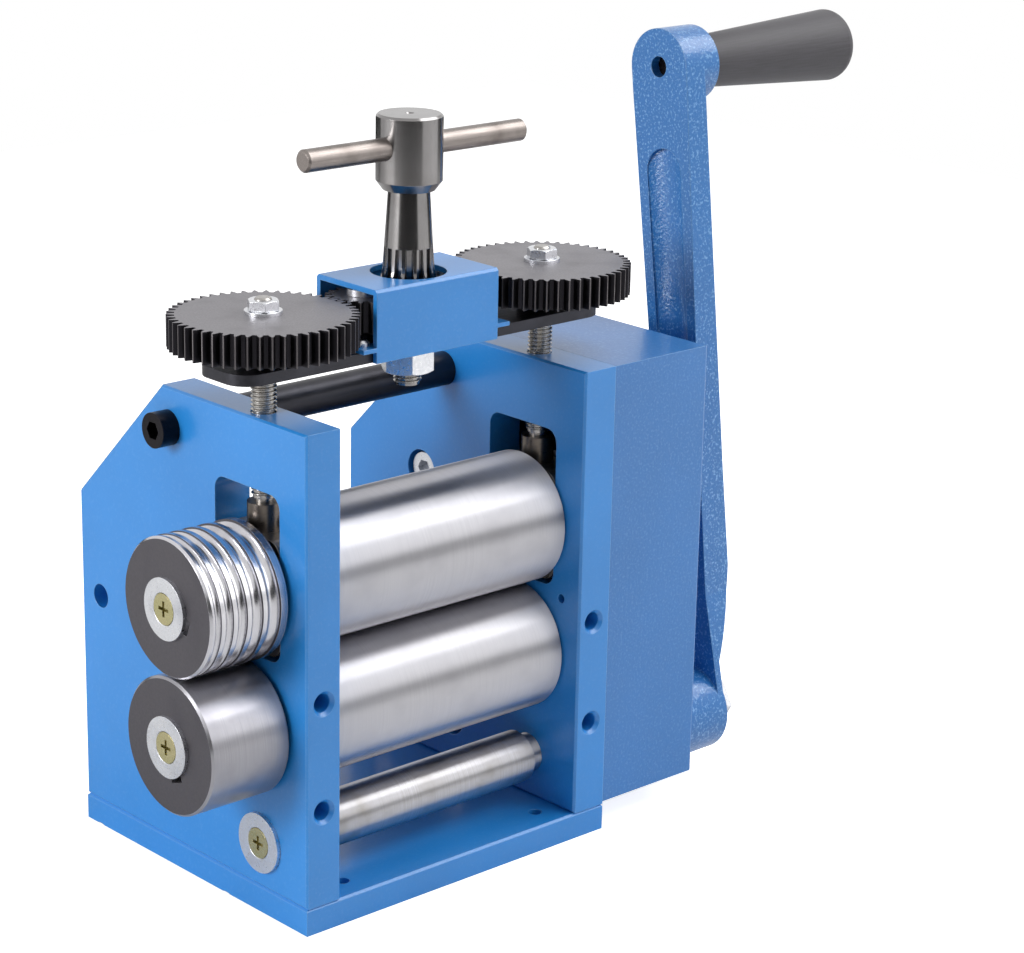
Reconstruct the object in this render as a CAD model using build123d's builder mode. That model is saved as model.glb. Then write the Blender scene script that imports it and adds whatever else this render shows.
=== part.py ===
"""Hand cranked jeweller's rolling mill with two plain rolls and two overhung side rolls.

Units are millimetres. The origin is the middle of the base's underside, +Z is up,
+X points from the side rolls to the gearbox and the crank, and the operator feeds metal
in from the front, at -Y. The pieces are drawn where they sit with the rolls almost closed.
"""
import os
from math import acos, cos, hypot, pi, radians, sin, sqrt, tan

from build123d import *

# ---------------------------------------------------------------- driving dimensions
# rolls
roll_diameter = 49.5
roll_face = 112.0
roll_gap = 0.5
lower_axis_height = 60.0
roll_setback = 32.5
roll_lift = 4.5
journal_diameter = 26.0
gear_seat_diameter = 20.0
side_roll_length = 32.9
side_roll_gap = 1.0

# frame
base_thickness = 10.0
plate_thickness = 15.0
plate_height = 171.5
plate_depth = 133.0
plate_top_depth = 81.0
plate_chamfer_drop = 51.0
roll_side_play = 0.25
edge_break = 0.8
bench_hole_diameter = 5.0
bench_hole_x = 46.5
bench_hole_inset = 11.0
front_hole_diameter = 6.8
front_hole_mouth = 9.4
front_hole_depth = 18.0
front_hole_height_low = 35.0
front_hole_height_high = 75.0
rear_hole_diameter = 9.0
rear_hole_inset = 12.0
rear_hole_height = 82.3
oil_hole_diameter = 3.5
oil_hole_inset = 9.9
oil_hole_rise = 23.1
oil_hole_depth = 6.0
base_screw_diameter = 8.0
base_screw_length = 24.0
base_screw_head = 14.4
base_screw_head_edge = 0.3
base_screw_setback = 46.5
base_screw_inset = 8.5

# bearing blocks and their windows
window_width = 36.0
window_corner = 5.0
window_room_below = 2.0
window_room_above = 16.4
block_below_axis = 21.5
block_above_axis = 20.0

# bars between the side plates
tie_rod_diameter = 13.0
tie_rod_setback = 76.8
tie_rod_drop = 14.5
guide_bar_diameter = 20.0
guide_bar_neck_diameter = 15.0
guide_bar_neck_length = 5.0
guide_bar_socket = 6.0
guide_bar_setback = 25.8
guide_bar_height = 17.0

# screw-down
lift_screw_diameter = 9.0
lift_screw_core = 7.8
lift_screw_neck = 6.5
lift_screw_top_diameter = 7.0
lift_stud_diameter = 6.0
lift_stud_height = 5.6
lift_nut_height = 3.6
lift_nut_flats = 10.0
lift_washer_diameter = 13.0
lift_washer_thickness = 1.2
cap_diameter = 12.0
cap_rise = 9.8
cap_seat_depth = 6.0
cap_floor = 2.0
bar_above_plate = 13.8
bar_thickness = 4.0
bar_width = 28.0
bar_length = 167.0
bar_corner = 9.0
lift_gear_above_bar = 5.1
lift_gear_width = 11.2
lift_hub_diameter = 18.0
lift_idler_hub_diameter = 12.0
idler_pin_diameter = 6.0
idler_pin_head = 11.0
lift_module = 1.25
lift_gear_teeth = 50
lift_idler_teeth = 19
t_pinion_teeth = 14
t_head_diameter = 23.4
t_head_above_bar = 50.7
t_head_length = 26.4
t_neck_diameter = 14.6
t_flare_diameter = 17.2
t_flare_height = 30.7
t_pinion_height = 22.7
t_collar_diameter = 16.0
t_journal_diameter = 10.0
t_stub_core = 8.6
t_stub_length = 4.8
t_nut_height = 8.0
t_nut_flats = 17.0
t_washer_diameter = 20.0
t_washer_thickness = 2.0
tommy_diameter = 8.0
tommy_length = 99.0
tommy_offset = 2.5
tommy_rise = 15.0
cover_length = 55.5
cover_width = 32.6
cover_height = 25.7
cover_sheet = 2.0
cover_hole_diameter = 27.0
cover_foot_length = 9.0
cover_foot_width = 11.0
cover_foot_thickness = 1.5
cover_screw_diameter = 2.5
cover_screw_head = 5.0
cover_screw_reach = 1.25
cover_screw_inset = 6.0

# gearbox and drive
gearbox_width = 48.1
gearbox_raise = 1.0
gearbox_front_wall = 4.0
gearbox_wall = 5.0
gearbox_post_diameter = 15.0
gearbox_screw_head_depth = 8.5
gearbox_screw_length = 24.0
roll_gear_teeth = 20
roll_gear_addendum = 2.7
roll_gear_width = 18.0
drive_module = 1.25
reduction_teeth = 35
drive_idler_teeth = 20
crank_pinion_teeth = 14
drive_gear_width = 12.0
crank_setback = 21.5
crank_axis_height = 15.5
drive_idler_pin = 10.0
drive_idler_collar = 13.0
crank_bush_wall = 3.0
crank_thread_diameter = 12.0
crank_nut_flats = 18.0
crank_nut_height = 8.0
crank_washer_diameter = 24.0
crank_washer_thickness = 1.8
crank_key_width = 5.0
crank_key_inner = 4.5
crank_key_outer = 9.0

# crank
crank_lean = 6.85
crank_throw = 252.7
crank_shaft_diameter = 14.0
hub_diameter = 34.6
hub_gap = 1.0
arm_offset = 21.0
hub_rim = 3.0
arm_width_top = 29.0
arm_width_low = 22.6
arm_thick_top = 9.4
arm_thick_low = 13.6
boss_thickness = 20.1
grip_small_diameter = 19.8
grip_large_diameter = 28.2
grip_length = 78.0
grip_pin_diameter = 8.0
grip_pin_head = 13.0
grip_recess_diameter = 14.0
grip_recess_depth = 10.0
pocket_depth = 3.0
pocket_margin_low = 4.5
pocket_margin_top = 5.5
pocket_end = 40.0
arm_low = 57.0
arm_flare = 10.0

# fits and clearances
running_fit = 0.05
slide_fit = 0.08
small_gap = 0.3
tooth_thinning = 0.45
roll_tooth_thinning = 0.6

# fasteners
washer_diameter = 22.0
washer_thickness = 1.5
csk_head_diameter = 11.0
csk_shank_diameter = 6.0
csk_length = 18.0
csk_relief_diameter = 8.4
cap_screw_diameter = 8.0
cap_head_diameter = 12.8
cap_head_height = 7.0
key_width = 6.0
key_length = 16.0
bush_wall = 4.0
crank_bush_length = 8.0

# ---------------------------------------------------------------- derived positions
front_y = -plate_depth / 2
back_y = plate_depth / 2
roll_y = front_y + roll_setback
roll_centres = roll_diameter + roll_gap
lower_axis_z = base_thickness + lower_axis_height
upper_axis_z = lower_axis_z + roll_centres
block_low_z = upper_axis_z - block_below_axis
block_high_z = upper_axis_z + block_above_axis
window_low_z = block_low_z - window_room_below
window_high_z = block_high_z + window_room_above
cap_top_z = block_high_z + cap_rise
base_screw_places = (front_y + base_screw_setback, back_y - base_screw_inset)
plate_inner = roll_face / 2 + roll_side_play
plate_outer = plate_inner + plate_thickness
plate_mid = plate_inner + plate_thickness / 2
plate_top = base_thickness + plate_height
plate_chamfer_run = plate_depth - plate_top_depth
tie_rod_z = plate_top - tie_rod_drop
guide_bar_z = base_thickness + guide_bar_height
side_roll_inner = -(plate_outer + side_roll_gap)
side_roll_outer = side_roll_inner - side_roll_length
tie_rod_y = front_y + tie_rod_setback
guide_bar_y = front_y + guide_bar_setback
bar_low_z = plate_top + bar_above_plate
bar_top_z = bar_low_z + bar_thickness
lift_gear_low_z = bar_top_z + lift_gear_above_bar
cover_top_z = bar_low_z + cover_height
cover_screw_x = cover_length / 2 + cover_screw_reach
cover_screw_y = cover_width / 2 - cover_screw_inset
t_nut_top_z = bar_low_z - 0.1 - t_washer_thickness
t_nut_low_z = t_nut_top_z - t_nut_height
t_head_low_z = bar_top_z + t_head_above_bar
t_head_top_z = t_head_low_z + t_head_length
tommy_z = t_head_low_z + tommy_rise
t_pinion_top = bar_top_z + t_pinion_height
t_flare_z = bar_top_z + t_flare_height
t_pinion_tip = lift_module * (t_pinion_teeth + 2) / 2
lift_gear_top_z = lift_gear_low_z + lift_gear_width
lift_idler_x = lift_module * (t_pinion_teeth + lift_idler_teeth) / 2
lift_gear_x = lift_idler_x + lift_module * (lift_idler_teeth + lift_gear_teeth) / 2
gearbox_outer = plate_outer + gearbox_width
crank_y = front_y + crank_setback
crank_axis_z = base_thickness + crank_axis_height
gearbox_low_z = base_thickness + gearbox_raise
roll_gear_module = roll_centres / roll_gear_teeth
roll_gear_x = plate_outer + 2.0
drive_gear_x = roll_gear_x + roll_gear_width + 4.0
drive_gear_end = drive_gear_x + drive_gear_width
roll_shaft_end = drive_gear_end + 4.0
arm_x = gearbox_outer + arm_offset
boss_outer = arm_x + boss_thickness
grip_start = boss_outer + 0.5
grip_end = grip_start + grip_length
boss_diameter = arm_width_top
crank_bush_diameter = crank_shaft_diameter + 2 * crank_bush_wall
idler_seat = plate_thickness - 5.0

# the drive idler sits behind the line from the crank shaft to the lower roll shaft
roll_to_crank = hypot(roll_y - crank_y, lower_axis_z - crank_axis_z)
crank_to_idler = drive_module * (crank_pinion_teeth + drive_idler_teeth) / 2
idler_to_roll = drive_module * (drive_idler_teeth + reduction_teeth) / 2
toward_y = (roll_y - crank_y) / roll_to_crank
toward_z = (lower_axis_z - crank_axis_z) / roll_to_crank
idler_along = (crank_to_idler**2 - idler_to_roll**2 + roll_to_crank**2) / (2 * roll_to_crank)
idler_aside = sqrt(crank_to_idler**2 - idler_along**2)
drive_idler_y = crank_y + toward_y * idler_along + toward_z * idler_aside
drive_idler_z = crank_axis_z + toward_z * idler_along - toward_y * idler_aside


# ---------------------------------------------------------------- helpers
def disc_x(x_start, x_end, y, z, diameter, mode=Mode.ADD):
    """Cylinder along X between two X positions."""
    with BuildSketch(Plane.YZ.offset(x_start)) as profile:
        with Locations((y, z)):
            Circle(diameter / 2)
    extrude(profile.sketch, amount=x_end - x_start, mode=mode)


def disc_z(x, y, z_low, z_high, diameter, mode=Mode.ADD):
    """Cylinder along Z between two heights."""
    with BuildSketch(Plane.XY.offset(z_low)) as profile:
        with Locations((x, y)):
            Circle(diameter / 2)
    extrude(profile.sketch, amount=z_high - z_low, mode=mode)


def hex_z(x, y, z_low, z_high, across_flats, mode=Mode.ADD):
    """Hexagonal prism along Z."""
    with BuildSketch(Plane.XY.offset(z_low)) as profile:
        with Locations((x, y)):
            RegularPolygon(across_flats / 2, 6, major_radius=False)
    extrude(profile.sketch, amount=z_high - z_low, mode=mode)


def nut_corners(x, y, z_low, z_high, across_flats):
    """Turn the sharp corners off both ends of a nut that stands along Z."""
    corner = across_flats / sqrt(3)
    rise = (corner - across_flats / 2) * tan(radians(30))
    with BuildSketch(Plane(origin=(x, y, 0), x_dir=(1, 0, 0), z_dir=(0, -1, 0))) as profile:
        with BuildLine():
            Polyline((0, z_low), (across_flats / 2 - 0.1, z_low), (corner, z_low + rise),
                     (corner, z_high - rise), (across_flats / 2 - 0.1, z_high), (0, z_high), close=True)
        make_face()
    revolve(profile.sketch, axis=Axis((x, y, 0), (0, 0, 1)), mode=Mode.INTERSECT)


def radial_plane(x, y, z, angle):
    """Plane square to X whose own x axis points away from a shaft at the given angle."""
    a = radians(angle)
    return Plane(origin=(x, y, z), x_dir=(0, cos(a), sin(a)), z_dir=(1, 0, 0))


def key_block(x_start, x_end, y, z, angle, inner, outer, width, mode=Mode.ADD):
    """Bar along X from one radius to another, for a key or its slot."""
    with BuildSketch(radial_plane(x_start, y, z, angle)) as profile:
        with Locations(((inner + outer) / 2, 0)):
            Rectangle(outer - inner, width)
    extrude(profile.sketch, amount=x_end - x_start, mode=mode)


def involute(angle):
    """Involute function of a pressure angle in radians."""
    return tan(angle) - angle


def tooth_outline(centre, teeth, module, phase, addendum, dedendum, thinning):
    """Closed outline of a spur gear with involute flanks; phase is one tooth's angle."""
    pitch = module * teeth / 2
    base = pitch * cos(radians(20))
    root = pitch - dedendum
    tip = pitch + addendum
    half = (pi * module / 2 - thinning) / (2 * pitch) + involute(radians(20))
    low = max(root, base)
    radii = [root, low + 0.15 * (tip - low), low + 0.55 * (tip - low), tip]
    flank = []
    for radius in radii:
        flank.append((radius, half - involute(acos(min(1.0, base / max(radius, base))))))
    points = []
    for i in range(teeth):
        middle = phase + 2 * pi * i / teeth
        for radius, offset in flank:
            angle = middle - offset
            points.append((centre[0] + radius * cos(angle), centre[1] + radius * sin(angle)))
        for radius, offset in reversed(flank):
            angle = middle + offset
            points.append((centre[0] + radius * cos(angle), centre[1] + radius * sin(angle)))
    return points


def meshing_phase(teeth, phase, direction, other_teeth):
    """Tooth angle of a second gear that lies in the given direction from the first."""
    offset = (direction - phase) * teeth / (2 * pi)
    return direction + pi + (offset + 0.5) * 2 * pi / other_teeth


def gear_face(plane, centre, teeth, module, phase, addendum, dedendum, thinning, bore):
    """Sketch of a spur gear on a plane, with its bore."""
    with BuildSketch(plane) as face:
        with BuildLine():
            Polyline(*tooth_outline(centre, teeth, module, phase, addendum, dedendum, thinning), close=True)
        make_face()
        with Locations(centre):
            Circle(bore / 2, mode=Mode.SUBTRACT)
    return face.sketch


def finish(built, label):
    """Name a finished piece and write its file."""
    built.part.label = label
    export_step(built.part, "parts/" + label + ".step")


os.makedirs("parts", exist_ok=True)

# ---------------------------------------------------------------- base
with BuildPart() as base_plate:
    with BuildSketch(Plane.XY):
        Rectangle(2 * plate_outer, plate_depth)
    extrude(amount=base_thickness)
    chamfer(base_plate.faces().sort_by(Axis.Z)[-1].edges(), length=edge_break)
    with BuildSketch(Plane.XY):
        with GridLocations(2 * bench_hole_x, plate_depth - 2 * bench_hole_inset, 2, 2):
            Circle(bench_hole_diameter / 2)
    extrude(amount=base_thickness, mode=Mode.SUBTRACT)
    with Locations(Plane(origin=(0, 0, 0), x_dir=(1, 0, 0), z_dir=(0, 0, -1))):
        with Locations(*[(x, -y) for x in (-plate_mid, plate_mid) for y in base_screw_places]):
            CounterSinkHole(base_screw_diameter / 2 + 0.2, base_screw_head / 2 + 0.6, base_thickness, 90)
finish(base_plate, "base_plate")

with BuildPart() as base_screws:
    head = base_screw_head / 2
    shank = base_screw_diameter / 2
    edge = base_screw_head_edge
    for x in (-plate_mid, plate_mid):
        for y in base_screw_places:
            with BuildSketch(Plane(origin=(x, y, small_gap), x_dir=(1, 0, 0), z_dir=(0, -1, 0))):
                with BuildLine():
                    Polyline((0, 0), (head, 0), (head, edge), (shank, edge + head - shank),
                             (shank, base_screw_length), (0, base_screw_length), close=True)
                make_face()
            revolve(axis=Axis((x, y, 0), (0, 0, 1)))
            hex_z(x, y, small_gap, small_gap + 2.5, 5, mode=Mode.SUBTRACT)
finish(base_screws, "base_screws")


# ---------------------------------------------------------------- side plates
def plate_blank(x_start, x_end):
    """Side plate outline extruded between two X positions."""
    with BuildSketch(Plane.YZ.offset(x_start)) as profile:
        with BuildLine():
            Polyline(
                (front_y, base_thickness),
                (back_y, base_thickness),
                (back_y, plate_top - plate_chamfer_drop),
                (back_y - plate_chamfer_run, plate_top),
                (front_y, plate_top),
                close=True,
            )
        make_face()
    extrude(profile.sketch, amount=x_end - x_start)


def plate_openings(x_start, x_middle):
    """Bearing window, bush bore, screw-down bore, front tapped holes and base screw holes."""
    with BuildSketch(Plane.YZ.offset(x_start)) as holes:
        with Locations((roll_y, (window_low_z + window_high_z) / 2)):
            RectangleRounded(window_width, window_high_z - window_low_z, window_corner)
        with Locations((roll_y, lower_axis_z)):
            Circle(journal_diameter / 2 + bush_wall)
    extrude(holes.sketch, amount=plate_thickness, mode=Mode.SUBTRACT)
    disc_z(x_middle, roll_y, window_high_z - 5, plate_top, lift_screw_diameter + 2 * running_fit,
           Mode.SUBTRACT)
    for height in (front_hole_height_low, front_hole_height_high):
        z = base_thickness + height
        with Locations(Plane(origin=(x_middle, front_y, z), x_dir=(1, 0, 0), z_dir=(0, -1, 0))):
            CounterSinkHole(front_hole_diameter / 2, front_hole_mouth / 2, front_hole_depth, 90)
    for y in base_screw_places:
        disc_z(x_middle, y, base_thickness, small_gap + base_screw_length, base_screw_diameter, Mode.SUBTRACT)


with BuildPart() as left_plate:
    plate_blank(-plate_outer, -plate_inner)
    chamfer(left_plate.faces().sort_by(Axis.X)[0].outer_wire().edges(), length=edge_break)
    chamfer(left_plate.faces().sort_by(Axis.X)[-1].outer_wire().edges(), length=edge_break)
    plate_openings(-plate_outer, -plate_mid)
    disc_x(-plate_outer, -plate_inner, guide_bar_y, guide_bar_z, guide_bar_neck_diameter + 0.1, Mode.SUBTRACT)
    disc_x(-plate_outer, -plate_inner, tie_rod_y, tie_rod_z, cap_screw_diameter + 0.4, Mode.SUBTRACT)
    rear_hole_z = base_thickness + rear_hole_height
    disc_x(-plate_outer, -plate_inner, back_y - rear_hole_inset, rear_hole_z, rear_hole_diameter,
           Mode.SUBTRACT)
finish(left_plate, "left_plate")

# the four screws that hold the gearbox, as distance from the back and height above the base
gearbox_screw_places = []
for inset, height in ((43.5, 114.0), (16.5, 78.0), (21.5, 20.0), (62.5, 18.0)):
    gearbox_screw_places.append((back_y - inset, base_thickness + height))

with BuildPart() as right_plate:
    plate_blank(plate_inner, plate_outer)
    chamfer(right_plate.faces().sort_by(Axis.X)[0].outer_wire().edges(), length=edge_break)
    plate_openings(plate_inner, plate_mid)
    socket_end = plate_inner + guide_bar_socket
    disc_x(plate_inner, socket_end, guide_bar_y, guide_bar_z, guide_bar_neck_diameter + 0.1, Mode.SUBTRACT)
    disc_x(plate_inner, plate_outer, tie_rod_y, tie_rod_z, cap_screw_diameter + 0.4, Mode.SUBTRACT)
    oil_hole_y = front_y + oil_hole_inset
    oil_hole_z = lower_axis_z + oil_hole_rise
    disc_x(plate_inner, plate_inner + oil_hole_depth, oil_hole_y, oil_hole_z, oil_hole_diameter,
           Mode.SUBTRACT)
    disc_x(plate_outer - crank_bush_length, plate_outer, crank_y, crank_axis_z, crank_bush_diameter,
           Mode.SUBTRACT)
    disc_x(plate_outer - idler_seat, plate_outer, drive_idler_y, drive_idler_z, drive_idler_pin,
           Mode.SUBTRACT)
    for y, z in gearbox_screw_places:
        disc_x(plate_inner, plate_outer, y, z, cap_screw_diameter + 0.4, Mode.SUBTRACT)
        disc_x(plate_inner, plate_inner + gearbox_screw_head_depth, y, z, cap_head_diameter + 2.6,
               Mode.SUBTRACT)
finish(right_plate, "right_plate")

with BuildPart() as lower_bushes:
    for x in (-plate_outer, plate_inner):
        disc_x(x, x + plate_thickness, roll_y, lower_axis_z, journal_diameter + 2 * bush_wall)
        bore = journal_diameter + 2 * running_fit
        disc_x(x, x + plate_thickness, roll_y, lower_axis_z, bore, Mode.SUBTRACT)
finish(lower_bushes, "lower_bushes")


# ---------------------------------------------------------------- bars between the plates
def socket_screw_x(x_seat, way, y, z, length):
    """Socket head cap screw along X; its head stands on the far side of the seat from way."""
    tip = x_seat + way * length
    top = x_seat - way * cap_head_height
    disc_x(min(x_seat, tip), max(x_seat, tip), y, z, cap_screw_diameter)
    disc_x(min(x_seat, top), max(x_seat, top), y, z, cap_head_diameter)
    bottom = top + way * 4.0
    with BuildSketch(Plane.YZ.offset(min(top, bottom))) as socket:
        with Locations((y, z)):
            RegularPolygon(3.0, 6, major_radius=False)
    extrude(socket.sketch, amount=4.0, mode=Mode.SUBTRACT)


with BuildPart() as tie_rod:
    disc_x(-plate_inner, plate_inner, tie_rod_y, tie_rod_z, tie_rod_diameter)
    for x in (-plate_inner, plate_inner - 20):
        disc_x(x, x + 20, tie_rod_y, tie_rod_z, cap_screw_diameter, Mode.SUBTRACT)
finish(tie_rod, "tie_rod")

with BuildPart() as tie_rod_screws:
    socket_screw_x(-plate_outer, 1, tie_rod_y, tie_rod_z, plate_thickness + 14)
    socket_screw_x(plate_outer, -1, tie_rod_y, tie_rod_z, plate_thickness + 14)
finish(tie_rod_screws, "tie_rod_screws")

with BuildPart() as guide_bar:
    disc_x(-plate_inner, plate_inner - guide_bar_neck_length, guide_bar_y, guide_bar_z, guide_bar_diameter)
    chamfer(guide_bar.edges().filter_by(GeomType.CIRCLE), length=edge_break)
    neck_end = plate_inner + guide_bar_socket - 0.5
    disc_x(-plate_outer + 0.5, neck_end, guide_bar_y, guide_bar_z, guide_bar_neck_diameter)
    disc_x(-plate_outer, -plate_outer + 20, guide_bar_y, guide_bar_z, csk_shank_diameter, Mode.SUBTRACT)
    disc_x(-plate_outer, -plate_outer + 2, guide_bar_y, guide_bar_z, csk_relief_diameter, Mode.SUBTRACT)
finish(guide_bar, "guide_bar")


def countersunk_washer(label, x_seat, y, z):
    """Large washer whose inner face is at x_seat, with a countersink on its outer face."""
    with BuildPart() as washer:
        disc_x(x_seat - washer_thickness, x_seat, y, z, washer_diameter)
        with Locations(Plane(origin=(x_seat - washer_thickness, y, z), x_dir=(0, 1, 0), z_dir=(-1, 0, 0))):
            CounterSinkHole(csk_shank_diameter / 2 + 0.2, csk_head_diameter / 2 + 0.35, washer_thickness, 90)
    finish(washer, label)


def countersunk_screw(label, x_face, y, z):
    """Cross-slotted countersunk screw along X with its head's flat at x_face."""
    head = csk_head_diameter / 2
    shank = csk_shank_diameter / 2
    with BuildPart() as screw:
        with BuildSketch(Plane(origin=(x_face, y, z), x_dir=(1, 0, 0), z_dir=(0, -1, 0))):
            with BuildLine():
                Polyline((0, 0), (0, head), (0.3, head), (0.3 + head - shank, shank),
                         (csk_length, shank), (csk_length, 0), close=True)
            make_face()
        revolve(axis=Axis((x_face, y, z), (1, 0, 0)))
        with BuildSketch(Plane.YZ.offset(x_face)):
            with Locations((y, z)):
                Rectangle(5.6, 1.2)
                Rectangle(1.2, 5.6)
        extrude(amount=1.6, mode=Mode.SUBTRACT)
    finish(screw, label)


countersunk_washer("guide_bar_washer", -plate_outer, guide_bar_y, guide_bar_z)
countersunk_screw("guide_bar_screw", -plate_outer - washer_thickness, guide_bar_y, guide_bar_z)

# ---------------------------------------------------------------- rolls
lower_key_angle = 251.0
upper_key_angle = 200.0


def main_roll(label, z, shaft_end, key_angle, gear_key_x):
    """Roll, journals, gear seat and side roll seat in one piece, with its key slots."""
    with BuildPart() as roll:
        disc_x(-roll_face / 2, roll_face / 2, roll_y, z, roll_diameter)
        chamfer(roll.edges().filter_by(GeomType.CIRCLE), length=edge_break)
        disc_x(-plate_outer - 0.4, plate_outer + 0.6, roll_y, z, journal_diameter)
        disc_x(side_roll_outer + 0.6, shaft_end, roll_y, z, gear_seat_diameter)
        disc_x(side_roll_outer, side_roll_outer + csk_length + 2, roll_y, z, csk_shank_diameter,
               Mode.SUBTRACT)
        disc_x(side_roll_outer, side_roll_outer + 2, roll_y, z, csk_relief_diameter, Mode.SUBTRACT)
        for x in (side_roll_outer + 5, gear_key_x):
            key_block(x, x + key_length, roll_y, z, key_angle, 6.5, 12.5, key_width, Mode.SUBTRACT)
    finish(roll, label)


def side_roll_blank(z, key_angle):
    """Overhung roll body with bore and keyway."""
    disc_x(side_roll_outer, side_roll_inner, roll_y, z, gear_seat_diameter + 0.04, Mode.SUBTRACT)
    key_block(side_roll_outer, side_roll_inner, roll_y, z, key_angle, 8.0, 12.7, key_width + 0.04,
              Mode.SUBTRACT)


def keys(label, z, key_angle, gear_key_x):
    """The two keys of one roll shaft."""
    with BuildPart() as pair:
        for x in (side_roll_outer + 5, gear_key_x):
            key_block(x, x + key_length, roll_y, z, key_angle, 6.5, 12.5, key_width)
    finish(pair, label)


upper_gear_key_x = roll_gear_x + 1.0
lower_gear_key_x = drive_gear_x - 8.0
main_roll("upper_roll", upper_axis_z, roll_gear_x + roll_gear_width + 3.0, upper_key_angle, upper_gear_key_x)
main_roll("lower_roll", lower_axis_z, roll_shaft_end, lower_key_angle, lower_gear_key_x)
keys("upper_roll_keys", upper_axis_z, upper_key_angle, upper_gear_key_x)
keys("lower_roll_keys", lower_axis_z, lower_key_angle, lower_gear_key_x)

with BuildPart() as lower_side_roll:
    disc_x(side_roll_outer, side_roll_inner, roll_y, lower_axis_z, roll_diameter)
    chamfer(lower_side_roll.edges().filter_by(GeomType.CIRCLE), length=edge_break)
    side_roll_blank(lower_axis_z, lower_key_angle)
finish(lower_side_roll, "lower_side_roll")

# the wire grooves are half round and grow towards the plate
groove_radii = [1.3, 1.6, 2.0, 2.4, 2.8]
groove_land = 1.8

with BuildPart() as upper_side_roll:
    with BuildSketch(Plane(origin=(0, roll_y, upper_axis_z), x_dir=(1, 0, 0), z_dir=(0, -1, 0))):
        with BuildLine():
            Polyline(
                (side_roll_outer, 0),
                (side_roll_outer, roll_diameter / 2 - edge_break),
                (side_roll_outer + edge_break, roll_diameter / 2),
                (side_roll_inner - edge_break, roll_diameter / 2),
                (side_roll_inner, roll_diameter / 2 - edge_break),
                (side_roll_inner, 0),
                close=True,
            )
        make_face()
        groove_edge = side_roll_outer + groove_land
        for radius in groove_radii:
            with Locations((groove_edge + radius, roll_diameter / 2)):
                Circle(radius, mode=Mode.SUBTRACT)
            groove_edge += 2 * radius + groove_land
    revolve(axis=Axis((0, roll_y, upper_axis_z), (1, 0, 0)))
    side_roll_blank(upper_axis_z, upper_key_angle)
finish(upper_side_roll, "upper_side_roll")

countersunk_washer("upper_side_washer", side_roll_outer, roll_y, upper_axis_z)
countersunk_screw("upper_side_screw", side_roll_outer - washer_thickness, roll_y, upper_axis_z)
countersunk_washer("lower_side_washer", side_roll_outer, roll_y, lower_axis_z)
countersunk_screw("lower_side_screw", side_roll_outer - washer_thickness, roll_y, lower_axis_z)


# ---------------------------------------------------------------- bearing blocks and caps
def bearing_block(label, x_start, x_middle):
    """Block that slides in a plate window and carries one journal of the upper roll."""
    with BuildPart() as block:
        with BuildSketch(Plane.YZ.offset(x_start)):
            with Locations((roll_y, (block_low_z + block_high_z) / 2)):
                RectangleRounded(window_width - 2 * slide_fit, block_high_z - block_low_z, window_corner)
            with Locations((roll_y, upper_axis_z)):
                Circle(journal_diameter / 2 + running_fit, mode=Mode.SUBTRACT)
        extrude(amount=plate_thickness)
        disc_z(x_middle, roll_y, block_high_z - cap_seat_depth, block_high_z, cap_diameter + 0.04,
               Mode.SUBTRACT)
    finish(block, label)


bearing_block("left_bearing_block", -plate_outer, -plate_mid)
bearing_block("right_bearing_block", plate_inner, plate_mid)

with BuildPart() as pressing_caps:
    for x in (-plate_mid, plate_mid):
        disc_z(x, roll_y, block_high_z - cap_seat_depth, cap_top_z, cap_diameter)
        neck_bore = lift_screw_neck + 2 * running_fit
        disc_z(x, roll_y, block_high_z - cap_seat_depth + cap_floor, cap_top_z, neck_bore, Mode.SUBTRACT)
finish(pressing_caps, "pressing_caps")


# ---------------------------------------------------------------- screw-down train
def lift_screw(label, x):
    """Threaded pressing screw with a neck in its cap, a shoulder under the bar and a top stud."""
    with BuildPart() as screw:
        disc_z(x, roll_y, block_high_z - cap_seat_depth + cap_floor, cap_top_z + 2, lift_screw_neck)
        disc_z(x, roll_y, cap_top_z + 1.5, bar_low_z, lift_screw_core)
        disc_z(x, roll_y, window_high_z + 2, plate_top - roll_lift - 2, lift_screw_diameter)
        disc_z(x, roll_y, bar_low_z, lift_gear_top_z - 0.5, lift_screw_top_diameter)
        disc_z(x, roll_y, lift_gear_top_z - 1.0, lift_gear_top_z + lift_stud_height, lift_stud_diameter)
        chamfer(screw.faces().sort_by(Axis.Z)[-1].edges(), length=0.6)
    finish(screw, label)


def lift_gear(label, x, phase):
    """Screw-down gear with a hub below that stands on the bridge bar."""
    with BuildPart() as gear:
        teeth = gear_face(Plane.XY.offset(lift_gear_low_z), (x, roll_y), lift_gear_teeth, lift_module, phase,
                          lift_module, 1.25 * lift_module, tooth_thinning, lift_screw_top_diameter)
        extrude(teeth, amount=lift_gear_width)
        disc_z(x, roll_y, bar_top_z + 0.1, lift_gear_low_z, lift_hub_diameter)
        disc_z(x, roll_y, bar_top_z, lift_gear_low_z, lift_screw_top_diameter, Mode.SUBTRACT)
    finish(gear, label)


def lift_nut(side, x):
    """Washer and nut on the stud above a screw-down gear."""
    nut_low = lift_gear_top_z + lift_washer_thickness
    nut_top = nut_low + lift_nut_height
    with BuildPart() as washer:
        disc_z(x, roll_y, lift_gear_top_z, nut_low, lift_washer_diameter)
        disc_z(x, roll_y, lift_gear_top_z, nut_low, lift_stud_diameter, Mode.SUBTRACT)
    finish(washer, side + "_gear_washer")
    with BuildPart() as nut:
        hex_z(x, roll_y, nut_low, nut_top, lift_nut_flats)
        nut_corners(x, roll_y, nut_low, nut_top, lift_nut_flats)
        disc_z(x, roll_y, nut_low, nut_top, lift_stud_diameter, Mode.SUBTRACT)
    finish(nut, side + "_gear_nut")


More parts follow.
